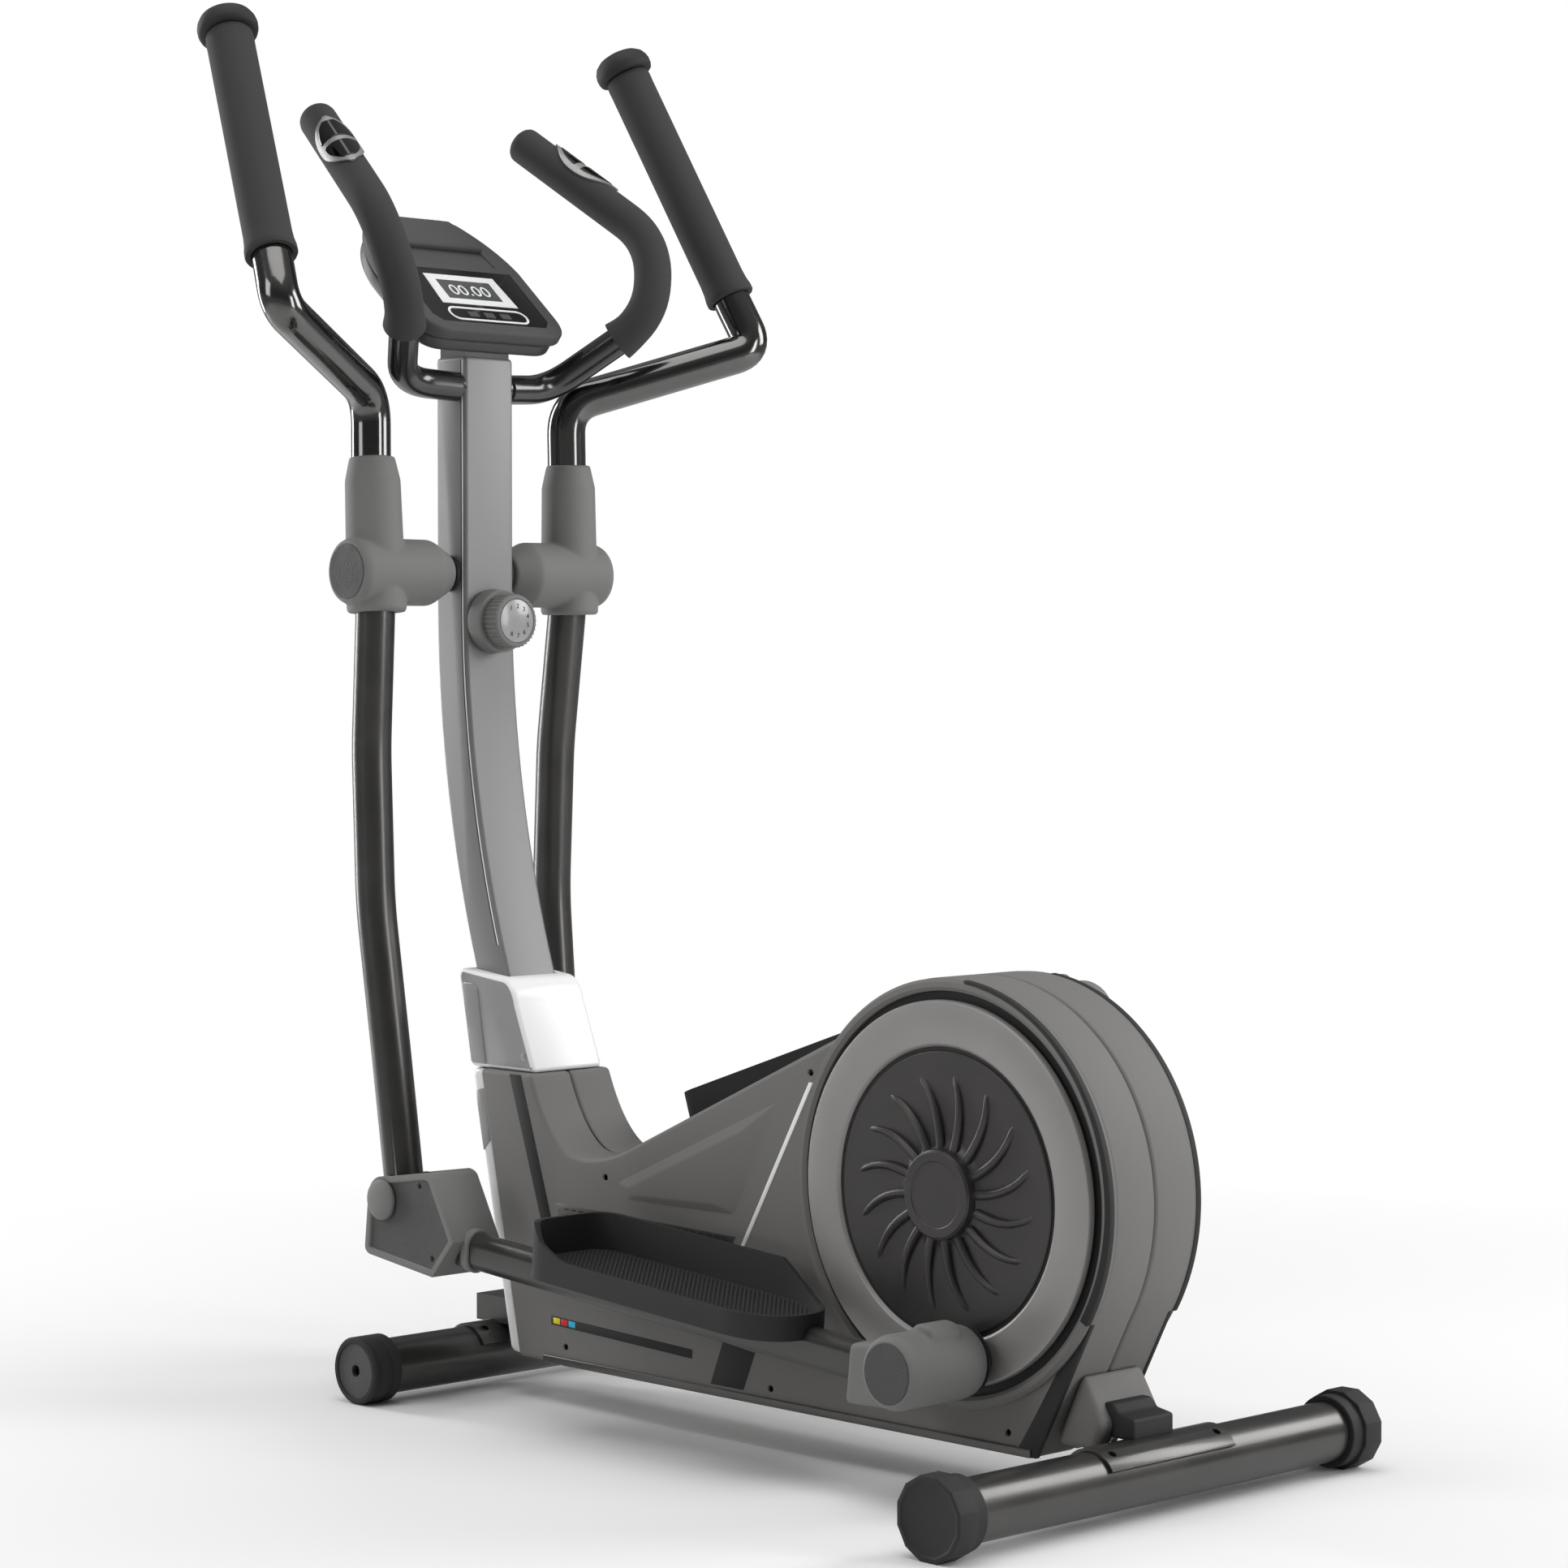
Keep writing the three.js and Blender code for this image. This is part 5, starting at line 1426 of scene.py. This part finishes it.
# ---------------------------------------------------------------- pedal bars
@dataclass
class PedalBar:
    """One pedal bar: beam, tray-shaped pedal, front joint cover with its pivot cap, rear joint cover."""

    side: Side
    plane: float = 145.0
    drop: float = -38.4
    slope: float = 1.88
    length: float = 818.0
    heel_mid: float = 150.0
    treads: int = 80

    def __post_init__(self) -> None:
        """Finds the bar's frame and its body."""
        self.datum = on_bar(self.side)
        self.body = f"{self.side.label}_bar"

    def build(self) -> None:
        """Builds the bar in its own frame, with its origin on the lower arm pivot."""
        beam = self._beam(66.0, 768.0, 0.0)
        finished(beam, f"pedal_beam_{self.side.label}", self.body, FRAME_PAINT,
                 (f"pedal_bar_{self.side.label}",), self.datum)
        self._pedal()
        self._front_cover()
        self._rear_cover()

    def _tilt(self, piece: Piece) -> Piece:
        """Leans a piece with the beam."""
        lean = Matrix.Rotation(math.radians(-self.slope), 4, "Y")
        return Bench.moved(piece, Matrix.Translation((0, 0, self.drop)) @ lean)

    def _beam(self, first: float, last: float, grow: float) -> Piece:
        """Builds the flat-sided oval beam, or the room that it needs.

        Args:
            first: where it starts along the bar.
            last: where it ends.
            grow: how much thicker it is all round.

        Returns:
            The leaning beam.
        """
        half_wide, half_high = 14 + grow, 21 + grow
        round_at = half_high - half_wide
        section = arc(0, round_at, half_wide, 0, 180, 16) + arc(0, -round_at, half_wide, 180, 360, 16)
        beam = Bench.plate(section, first, last)
        stand = Matrix(((0, 0, 1, 0), (1, 0, 0, self.side * self.plane), (0, 1, 0, 0), (0, 0, 0, 1)))
        return self._tilt(Bench.fixed(Bench.moved(beam, stand), 0.001))

    def _outline(self, inset: float) -> list[Flat]:
        """Gives the pedal's plan outline.

        Args:
            inset: how far it is drawn in.

        Returns:
            The outline's points.
        """
        toe, heel = 278 + inset, 662 - inset
        near, far = 90 + inset, 210 - inset
        points = [(toe + 30, near), (heel - 95, near)]
        points += bend((heel - 95, near), (heel, near + 6), (heel, self.heel_mid), 12)
        points += bend((heel, self.heel_mid), (heel, far), (heel - 70, far), 12) + [(toe + 40, far)]
        points += bend((toe + 40, far), (toe, far), (toe, far - 40)) + [(toe, near + 30)]
        points += bend((toe, near + 30), (toe, near), (toe + 30, near))[:-1]
        return [(x, y * self.side) for x, y in points]

    def _pedal(self) -> None:
        """Builds the black tray with its high inner wall and the diagonal tread."""
        tray = Bench.plate(self._outline(0.0), 8.0, 67.0)
        Bench.cut(tray, Bench.plate(self._outline(5.0), 27.0, 75.0),
                  Bench.plate(self._outline(5.0), 2.0, 22.0))
        outer = [(290, 72), (296, 64), (312, 48), (340, 36), (352, 34), (667, 34), (667, 72)]
        Bench.cut(tray, Bench.side_plate(outer, self.side, 162.0, 215.0))
        rear = [(552, 72), (562, 66), (590, 50), (616, 38), (632, 34), (667, 34), (667, 72)]
        Bench.cut(tray, Bench.side_plate(rear, self.side, 85.0, 215.0))
        Bench.rounded(tray, 1.6, 3, 35)
        self._tilt(tray)
        Bench.cut(tray, self._beam(238.0, 702.0, 0.5))
        finished(tray, f"pedal_tray_{self.side.label}", self.body, BLACK,
                 (f"pedal_{self.side.label}",), self.datum)
        ribs = []
        for i in range(self.treads):
            x = 170 + 6.4 * i
            corners = [(x, 90), (x + 2.2, 90), (x + 122.2, 210), (x + 120, 210)]
            ribs.append(Bench.plate([(u, v * self.side) for u, v in corners], 26.5, 28.6))
        tread = Bench.joined(*ribs)
        limit = Bench.plate(self._outline(12.0), 20.0, 40.0)
        Bench.apply(tread, "BOOLEAN", operation="INTERSECT", object=limit, solver="EXACT")
        bpy.data.objects.remove(limit)
        finished(self._tilt(tread), f"pedal_tread_{self.side.label}", self.body, RUBBER, (),
                 self.datum)

    def _front_cover(self) -> None:
        """Builds the cheeked cover round the arm's lower end, with its slot, plate, holes and pivot cap."""
        cheek = [(-26, 0), (-26, -58)] + bend((-26, -58), (-25, -65), (-16, -66)) + [(96, -68), (128, -22),
                                                                                     (84, 40)]
        cheek += bend((84, 40), (78, 45), (68, 44)) + [(0, 26)] + arc(0, 0, 26, 96, 174, 12)
        body = Bench.side_plate(cheek, self.side, 112.0, 178.0)
        panel(body, (0, self.side, 0), 6.5, 1.6)
        Bench.rounded(body, 3.0, 4, 28)
        slot = Bench.side_plate(box(-60, 66, -32, 70), self.side, 122.0, 168.0)
        Bench.cut(body, Bench.rounded(slot, 6.0, 4))
        Bench.cut(body, self._beam(65.6, 200.0, 0.3))
        for x, z in ((92, -48), (62, 28)):
            Bench.cut(body, side_round([(3.6, 165), (3.6, 190)], self.side, x, z, 32))
        finished(body, f"front_joint_{self.side.label}_fine", self.body, JOINT,
                 (f"front_joint_cover_{self.side.label}",), self.datum, accents=(TEXTURED,))
        cap = [(8, 108), (8, 177), (22, 177), (23, 178.5), (23, 181), (21.5, 183), (17, 184.8), (9, 185.8),
               (2, 186)]
        finished(side_round(cap, self.side, segments=64), f"pivot_cap_{self.side.label}", self.body,
                 JOINT, (f"pivot_bolt_{self.side.label}",), self.datum, 60.0)
        collar = self._beam(122.0, 134.0, 3.5)
        Bench.rounded(collar, 2.0, 3)
        finished(collar, f"beam_collar_{self.side.label}", self.body, JOINT, (), self.datum)

    def _rear_cover(self) -> None:
        """Builds the bearing cover over the crank pin, with its clamp, hump, textured end and seal."""
        barrel = [(31, 90), (33, 91), (36, 95), (37.5, 105), (37.5, 190), (35, 196), (32, 199), (4, 199)]
        shell = side_round(barrel, self.side, self.length)
        clamp = [(736, -54), (736, 8), (770, 16), (800, 26), (818, 20), (818, -30), (790, -46)]
        hump = [(804, 20), (809, 40), (816, 45), (832, 45), (838, 40), (843, 20)]
        pieces = [shell, Bench.rounded(Bench.side_plate(clamp, self.side, 119, 171), 6.0, 3)]
        pieces.append(Bench.rounded(Bench.side_plate(hump, self.side, 118, 160), 4.0, 3))
        Bench.melted(Bench.joined(*pieces), 1.6, 5)
        Bench.cut(shell, side_round([(13, 80), (13, 121)], self.side, self.length, segments=32))
        Bench.cut(shell, side_round([(3.6, 160), (3.6, 180)], self.side, 764.0, -4.0, 32))
        finished(shell, f"rear_joint_{self.side.label}_fine", self.body, JOINT,
                 (f"rear_joint_cover_{self.side.label}",), self.datum, 60.0)
        end = side_round([(30.5, 197), (30.5, 199.2), (29.5, 199.9), (3, 199.9)], self.side, self.length)
        finished(end, f"rear_joint_end_{self.side.label}", self.body, TEXTURED, (), self.datum)
        seal = [(20, 87.4), (34, 87.4), (35, 88.4), (35, 91), (20, 91), (20, 87.4)]
        lip = side_round(seal, self.side, self.length)
        finished(lip, f"bearing_seal_{self.side.label}", self.body, BLACK, (), self.datum)


# ---------------------------------------------------------------- fixed handlebar
@dataclass
class FixedBar:
    """The fixed handlebar with its foam grips and pulse sensors."""

    tube: float = 17.0
    foam: float = 22.0
    foam_start: float = 0.36
    dome: float = 11.0

    def build(self) -> None:
        """Builds the bar, the grips and the sensors."""
        corners = [(-452, 0, 1145), (-452, 36, 1145), (-462, 109, 1149), (-361, 183, 1232),
                   (-381, 205, 1324), (-564, 152, 1454)]
        half = rounded_path(corners, [40, 70, 85, 100])
        left = [(x, -y, z) for x, y, z in half]
        path = left[::-1][2:-1] + half[1:-2]
        hidden = [0.84 if abs(y) < 37 else 1.0 for _, y, _ in path]
        bar = Bench.tube(path, self.tube, 14, hidden)
        finished(bar, "fixed_bar", "frame", TUBE_PAINT, ("fixed_handlebar",))
        for side in Side:
            self._grip(side, [Vector((x, y * side, z)) for x, y, z in half])
            self._sensor(side)

    def _grip(self, side: Side, half: list[Vector]) -> None:
        """Builds a foam grip with a flared lower end and a closed dome.

        Args:
            side: the side that it is on.
            half: the bar's middle line on that side, from the mast outwards.
        """
        lengths = [(after - before).length for before, after in zip(half, half[1:])]
        total = sum(lengths)
        path, swell, gone = [], [], 0.0
        stations = [self.foam_start + 0.62 * i / 46 for i in range(47)] + [0.986, 0.991, 0.995, 0.998, 1.0]
        for share in stations:
            while gone + lengths[0] < share * total and len(lengths) > 1:
                gone += lengths.pop(0)
                half = half[1:]
            path.append(tuple(half[0].lerp(half[1], min(1.0, (share * total - gone) / lengths[0]))))
            from_end = min(1.0, (1.0 - share) * total / self.dome)
            flare = 1.0 + 0.1 * max(0.0, 1 - (share - self.foam_start) / 0.035)
            swell.append((0.3 + 0.7 * math.sqrt(1 - (1 - from_end) ** 2)) * flare)
        piece = Bench.tube(path, self.foam, 18, swell)
        finished(piece, f"foam_handle_{side.label}", "frame", FOAM,
                 (f"fixed_grip_{side.label}",), smooth=60.0)

    def _sensor(self, side: Side) -> None:
        """Builds a pulse sensor: a pointed grey saddle with two dark mirror plates on it.

        Args:
            side: the side that it is on.
        """
        tip, corner = Vector((-564, 152, 1454)), Vector((-381, 205, 1324))
        along = (tip - corner).normalized()
        out = Vector((0.5, 0.5, 0.7))
        out = (out - along * out.dot(along)).normalized()
        beside = along.cross(out)
        centre = tip - along * 96
        spots = {
            "frame": (-52.0, 52.0, 21.6, 24.6, 31.0, RING),
            "plate_low": (-41.0, -5.0, 23.8, 25.4, 23.0, MIRROR),
            "plate_high": (5.0, 41.0, 23.8, 25.4, 23.0, MIRROR),
        }
        for name, (first, last, inner, outer, wide, finish) in spots.items():
            Bench.clear()
            bpy.ops.mesh.primitive_grid_add(x_subdivisions=20, y_subdivisions=26, size=2)
            piece = bpy.context.object
            half, least = (52.0, 0.06) if name == "frame" else (48.0, 0.0)
            for vertex in piece.data.vertices:
                station = first + (last - first) * (vertex.co.y + 1) / 2
                taper = max(least, 1 - abs(station / half) ** 2.4)
                turn = vertex.co.x * wide * taper / outer
                place = centre + along * station
                place += beside * (inner * math.sin(turn)) + out * (inner * math.cos(turn))
                vertex.co = (place.x, place.y * side, place.z)
            Bench.fixed(piece)
            middle_face = piece.data.polygons[len(piece.data.polygons) // 2]
            facing = Vector((out.x, out.y * side, out.z))
            offset = 1.0 if middle_face.normal.dot(facing) > 0 else -1.0
            Bench.apply(piece, "SOLIDIFY", thickness=outer - inner, offset=offset)
            Bench.rounded(Bench.fixed(piece), 0.5, 2)
            finished(piece, f"pulse_{name}_{side.label}", "frame", finish,
                     (f"pulse_sensor_{side.label}",) if name == "frame" else ())


# ---------------------------------------------------------------- console
@dataclass
class Console:
    """The tilted display head: two shells, a glossy window, a screen with digits, and three buttons."""

    tilt: float = 41.0
    reach: float = 215.0
    x: float = -419.0
    z: float = 1212.0
    key_pitch: float = 24.0

    def __post_init__(self) -> None:
        """Finds the matrix that stands a flat drawing on the tilted head."""
        stand = Matrix.Rotation(math.radians(self.tilt), 4, "Y") @ Matrix.Rotation(math.pi / 2, 4, "Z")
        self.stand = Matrix.Translation((self.x, 0, self.z)) @ stand

    def build(self) -> None:
        """Builds the display head."""
        lower = Bench.rounded(Bench.plate(self._outline(5.0), -36.0, -17.4), 6.0, 5, 40)
        plug = Bench.side_plate(box(-487, -441, 1166, 1208), Side.RIGHT, -32.0, 32.0)
        self._stood(lower)
        Bench.cut(lower, Bench.side_plate(box(-492, -436, 1100, 1181), Side.RIGHT, -36.5, 36.5))
        Bench.fuse(lower, plug)
        finished(lower, "console_lower_shell", "frame", CONSOLE_LOW, ("console_base",))
        upper = Bench.plate(self._outline(0.0), -17.0, 0.0)
        Bench.rounded(upper, 5.0, 5, 40)
        Bench.cut(upper, Bench.plate(self._window(0.0), -3.0, 10.0))
        step = [(-72, 122), (72, 122), (66, 150), (52, 190), (40, 197), (-40, 197), (-52, 190), (-66, 150)]
        Bench.cut(upper, Bench.rounded(Bench.plate(step, -1.6, 10.0), 1.2, 2))
        finished(self._stood(upper), "console_upper_shell", "frame", CONSOLE,
                 ("console_top",))
        window = Bench.plate(self._window(0.4), -2.7, -0.4)
        for x in (-self.key_pitch, 0.0, self.key_pitch):
            Bench.cut(window, Bench.plate(box(x - 8, x + 8, 19, 29), -10.0, 10.0))
        Bench.rounded(window, 0.3, 2)
        finished(self._stood(window), "console_window_fine", "frame", WINDOW,
                 ("console_window",))
        self._screen()
        self._buttons()

    def _stood(self, piece: Piece) -> Piece:
        """Stands a piece that was drawn flat on the tilted head."""
        return Bench.moved(piece, self.stand)

    def _outline(self, inset: float) -> list[Flat]:
        """Gives the plan outline of the shells.

        Args:
            inset: how far it is drawn in.

        Returns:
            The outline's points.
        """
        reach, half, low = self.reach - inset, 106 - inset, -8 + inset
        right = [(half - 34, low)] + bend((half - 34, low), (half, low), (half, 30), 10) + [(half, 118)]
        right += bend((half, 118), (half - 6, 168), (half - 40, reach - 6), 10)
        right += bend((half - 40, reach - 6), (half - 48, reach), (half - 62, reach), 6)
        return right + [(-x, y) for x, y in right[::-1]]

    @staticmethod
    def _window(inset: float) -> list[Flat]:
        """Gives the outline of the window, drawn in by an inset."""
        half = 86 - inset
        return [(-half + 10, 8 + inset), (half - 10, 8 + inset), (half, 20), (half, 112 - inset),
                (-half, 112 - inset), (-half, 20)]

    def _screen(self) -> None:
        """Builds the framed screen with plain digits, the outline round the keys, the hump and the tab."""
        opening = box(-40, 40, 54, 90)
        border = Bench.plate([(-56, 44), (56, 44), (52, 100), (-52, 100)], -0.5, 0.15)
        Bench.cut(border, Bench.plate(opening, -2.0, 2.0))
        finished(self._stood(border), "screen_frame", "frame", PRINT)
        glass = Bench.rounded(Bench.plate(opening, -0.6, 0.0), 0.2, 2)
        finished(self._stood(glass), "screen_glass", "frame", SCREEN)
        digits = lettering("00.00", 27.0, 0.4)
        Bench.moved(digits, Matrix.Translation((0, 70, 0.2)))
        finished(self._stood(digits), "screen_digits", "frame", PRINT)
        outer, inner = (arc(46, 25, r, -90, 90, 20) + arc(-46, 25, r, 90, 270, 20) for r in (12.5, 9.5))
        outline = Bench.plate(outer, -0.5, 0.1)
        Bench.cut(outline, Bench.plate(inner, -2.0, 2.0))
        finished(self._stood(outline), "key_outline", "frame", PRINT)
        hump = Bench.plate([(-70, 152), (70, 152), (58, 190), (48, 206), (-48, 206), (-58, 190)], -4.0, 7.0)
        Bench.rounded(hump, 4.5, 5)
        finished(self._stood(hump), "console_hump", "frame", CONSOLE, smooth=50.0)
        tab = Bench.rounded(Bench.plate([(20, 204), (46, 204), (44, 215), (22, 215)], -8.0, 1.0), 1.5, 3)
        finished(self._stood(tab), "console_tab", "frame", WHITE)

    def _buttons(self) -> None:
        """Builds the three keys."""
        for column, place in ((-1, "left"), (0, "middle"), (1, "right")):
            x = self.key_pitch * column
            key = Bench.plate(box(x - 7.5, x + 7.5, 19.5, 28.5), -1.8, 1.2)
            Bench.rounded(key, 1.1, 4)
            finished(self._stood(key), f"key_{place}_cap", f"key_{place}", CONSOLE,
                     (f"button_{place}",))


# ---------------------------------------------------------------- tension knob
@dataclass
class TensionKnob:
    """The knurled tension knob with a pale dial, and its base on the mast."""

    height: float = KNOB.z / MM
    ribs: int = 36

    def build(self) -> None:
        """Builds the base, the knob and the numbered dial."""
        foot = [(31, -436.6), (36, -434), (37, -431), (36, -414), (34.5, -412.5), (10, -412.5)]
        base = Bench.turned(foot)
        Bench.moved(base, Matrix.Rotation(math.pi / 2, 4, "Y"))
        finished(self._placed(base), "knob_base_fine", "frame", JOINT, ("knob_base",))
        outline = []
        for i in range(self.ribs * 4):
            radius = 31.0 if i % 4 < 2 else 29.6
            turn = math.tau * i / (self.ribs * 4)
            outline.append((radius * math.cos(turn), radius * math.sin(turn)))
        grip = Bench.plate(outline, -412.0, -391.0)
        face = Bench.turned([(30, -392), (29, -389.8), (27, -389), (26, -389), (25, -389.8), (3, -389.8)])
        stem = Bench.turned([(8.5, -423), (8.5, -411)], 32)
        knob = Bench.joined(Bench.rounded(grip, 0.6, 2), face, stem)
        Bench.moved(knob, Matrix.Rotation(math.pi / 2, 4, "Y"))
        finished(self._placed(knob), "knob_grip", "knob", JOINT, ("tension_knob",))
        dial = Bench.turned([(24.5, -390), (24.5, -389.2), (24, -388.9), (2, -388.9)])
        Bench.moved(dial, Matrix.Rotation(math.pi / 2, 4, "Y"))
        finished(self._placed(dial), "knob_dial", "knob", PALE)
        marks = []
        for i in range(8):
            turn = math.radians(120 - 34 * i)
            digit = lettering(str(i + 1), 7.5, 0.3)
            y, z = 17 * math.cos(turn), 17 * math.sin(turn)
            stand = Matrix(((0, 0, 1, -388.75), (1, 0, 0, y), (0, 1, 0, z), (0, 0, 0, 1)))
            marks.append(Bench.moved(digit, stand))
        finished(self._placed(Bench.joined(*marks)), "knob_numbers", "knob", BLACK)

    def _placed(self, piece: Piece) -> Piece:
        """Lifts a piece to the knob's height."""
        return Bench.moved(piece, Matrix.Translation((0, 0, self.height)))


# ---------------------------------------------------------------- the nodes that stay
def dress_inner_nodes() -> None:
    """Gives the CAD nodes inside the housing their finishes."""
    coats = {
        "main_frame": FRAME_PAINT,
        "crank_axle": STEEL,
        "crank_pulley": BLACK,
        "drive_belt": RUBBER,
        "flywheel": IRON,
        "flywheel_axle": STEEL,
        "idler": BLACK,
        "brake_bracket": STEEL,
    }
    for name, finish in coats.items():
        node = frame["nodes"][name]
        if not node.data.materials:
            node.data.materials.append(finish.material())
        for slot in node.material_slots:
            slot.material = finish.material()
        LOG.info("%s keeps its CAD mesh", name)


# ---------------------------------------------------------------- studio
@dataclass
class Studio:
    """A pale floor, a light backdrop, soft boxes and the camera."""

    place: Point = (3.00382, -2.86507, 0.82540)
    turn: Point = (88.237, 0.0, 45.903)
    lens: float = 88.716

    def build(self) -> None:
        """Builds the floor, the lights and the camera."""
        self._floor()
        self._world()
        self._light("key_box", (-1.2, -4.0, 2.6), (0, 0, 0.7), (1.6, 2.4), 48.0)
        self._light("rear_box", (4.2, 1.4, 1.6), (0.2, 0, 0.7), (1.0, 2.4), 60.0)
        self._light("drum_box", (1.9, 2.9, 2.3), (0.3, 0, 0.5), (1.5, 2.0), 70.0)
        self._light("top_box", (0.2, -0.4, 4.2), (0, 0, 0.4), (3.0, 3.0), 65.0)
        self._light("rim_box", (-3.6, -0.8, 1.6), (-0.2, 0, 1.0), (0.7, 2.8), 70.0)
        self._camera()

    @staticmethod
    def _floor() -> None:
        """Builds the floor, which the camera sees fade into the white backdrop."""
        Bench.clear()
        bpy.ops.mesh.primitive_plane_add(size=40.0, location=(0.0, 0.0, 0.0))
        floor = bpy.context.object
        floor.name = "studio_floor"
        material = bpy.data.materials.new("studio_floor")
        material.use_nodes = True
        shader = material.node_tree.nodes["Principled BSDF"]
        shader.inputs["Base Color"].default_value = (0.9, 0.9, 0.9, 1.0)
        shader.inputs["Roughness"].default_value = 0.6
        tree = material.node_tree
        place = tree.nodes.new("ShaderNodeTexCoord")
        reach = fed(tree, "VectorMath", place.outputs["Object"])
        reach.operation = "LENGTH"
        seen = tree.nodes.new("ShaderNodeLightPath").outputs["Is Camera Ray"]
        fade = product(tree, ramp(tree, reach.outputs["Value"], 0.75, 2.1), seen)
        white = tree.nodes.new("ShaderNodeEmission")
        mix = fed(tree, "MixShader", fade, shader.outputs["BSDF"], white.outputs["Emission"])
        tree.links.new(mix.outputs["Shader"], tree.nodes["Material Output"].inputs["Surface"])
        floor.data.materials.append(material)

    @staticmethod
    def _world() -> None:
        """Makes a white backdrop for the camera and a softer, darker surrounding for light and gloss."""
        world = bpy.data.worlds.new("studio")
        world.use_nodes = True
        tree = world.node_tree
        soft = tree.nodes["Background"]
        place = tree.nodes.new("ShaderNodeTexCoord")
        split = fed(tree, "SeparateXYZ", place.outputs["Generated"])
        rise = ramp(tree, split.outputs["Z"], -1.0, 1.0)
        shade = fed(tree, "ValToRGB", rise)
        stops = ((0.0, 0.22), (0.48, 0.26), (0.56, 0.10), (0.72, 0.14), (1.0, 0.50))
        shade.color_ramp.elements.remove(shade.color_ramp.elements[1])
        shade.color_ramp.elements[0].color = (stops[0][1],) * 3 + (1.0,)
        for position, value in stops[1:]:
            shade.color_ramp.elements.new(position).color = (value, value, value, 1.0)
        tree.links.new(shade.outputs["Color"], soft.inputs["Color"])
        white = tree.nodes.new("ShaderNodeBackground")
        white.inputs["Color"].default_value = (1.0, 1.0, 1.0, 1.0)
        seen = tree.nodes.new("ShaderNodeLightPath").outputs["Is Camera Ray"]
        mix = fed(tree, "MixShader", seen, soft.outputs["Background"], white.outputs["Background"])
        tree.links.new(mix.outputs["Shader"], tree.nodes["World Output"].inputs["Surface"])
        bpy.context.scene.world = world
        bpy.context.scene.view_settings.view_transform = "Standard"

    @staticmethod
    def _light(name: str, place: Point, target: Point, size: Flat, power: float) -> None:
        """Hangs a soft box that looks at a point.

        Args:
            name: its name.
            place: where it hangs.
            target: the point that it looks at.
            size: its width and height.
            power: its power in watts.
        """
        light = bpy.data.lights.new(name, "AREA")
        light.shape = "RECTANGLE"
        light.size, light.size_y = size
        light.energy = power
        lamp = bpy.data.objects.new(name, light)
        bpy.context.collection.objects.link(lamp)
        lamp.location = place
        lamp.rotation_euler = (Vector(target) - Vector(place)).to_track_quat("-Z", "Y").to_euler()

    def _camera(self) -> None:
        """Sets up the camera at the viewing angle."""
        data = bpy.data.cameras.new("camera")
        data.lens = self.lens
        data.sensor_width = 36.0
        camera = bpy.data.objects.new("camera", data)
        bpy.context.collection.objects.link(camera)
        camera.location = self.place
        camera.rotation_euler = Euler([math.radians(part) for part in self.turn])
        bpy.context.scene.camera = camera


def main() -> None:
    """Builds the sub-assemblies in order."""
    logging.basicConfig(level=logging.INFO)
    for build in (build_grain_group, build_wear_group, build_dust_group):
        build()
    Studio().build()
    Base().build()
    Mast().build()
    Housing().build()
    for side in Side:
        CrankDisc(side).build()
        Arm(side).build()
        PedalBar(side).build()
    FixedBar().build()
    Console().build()
    TensionKnob().build()
    dress_inner_nodes()


if __name__ == "__main__":
    main()
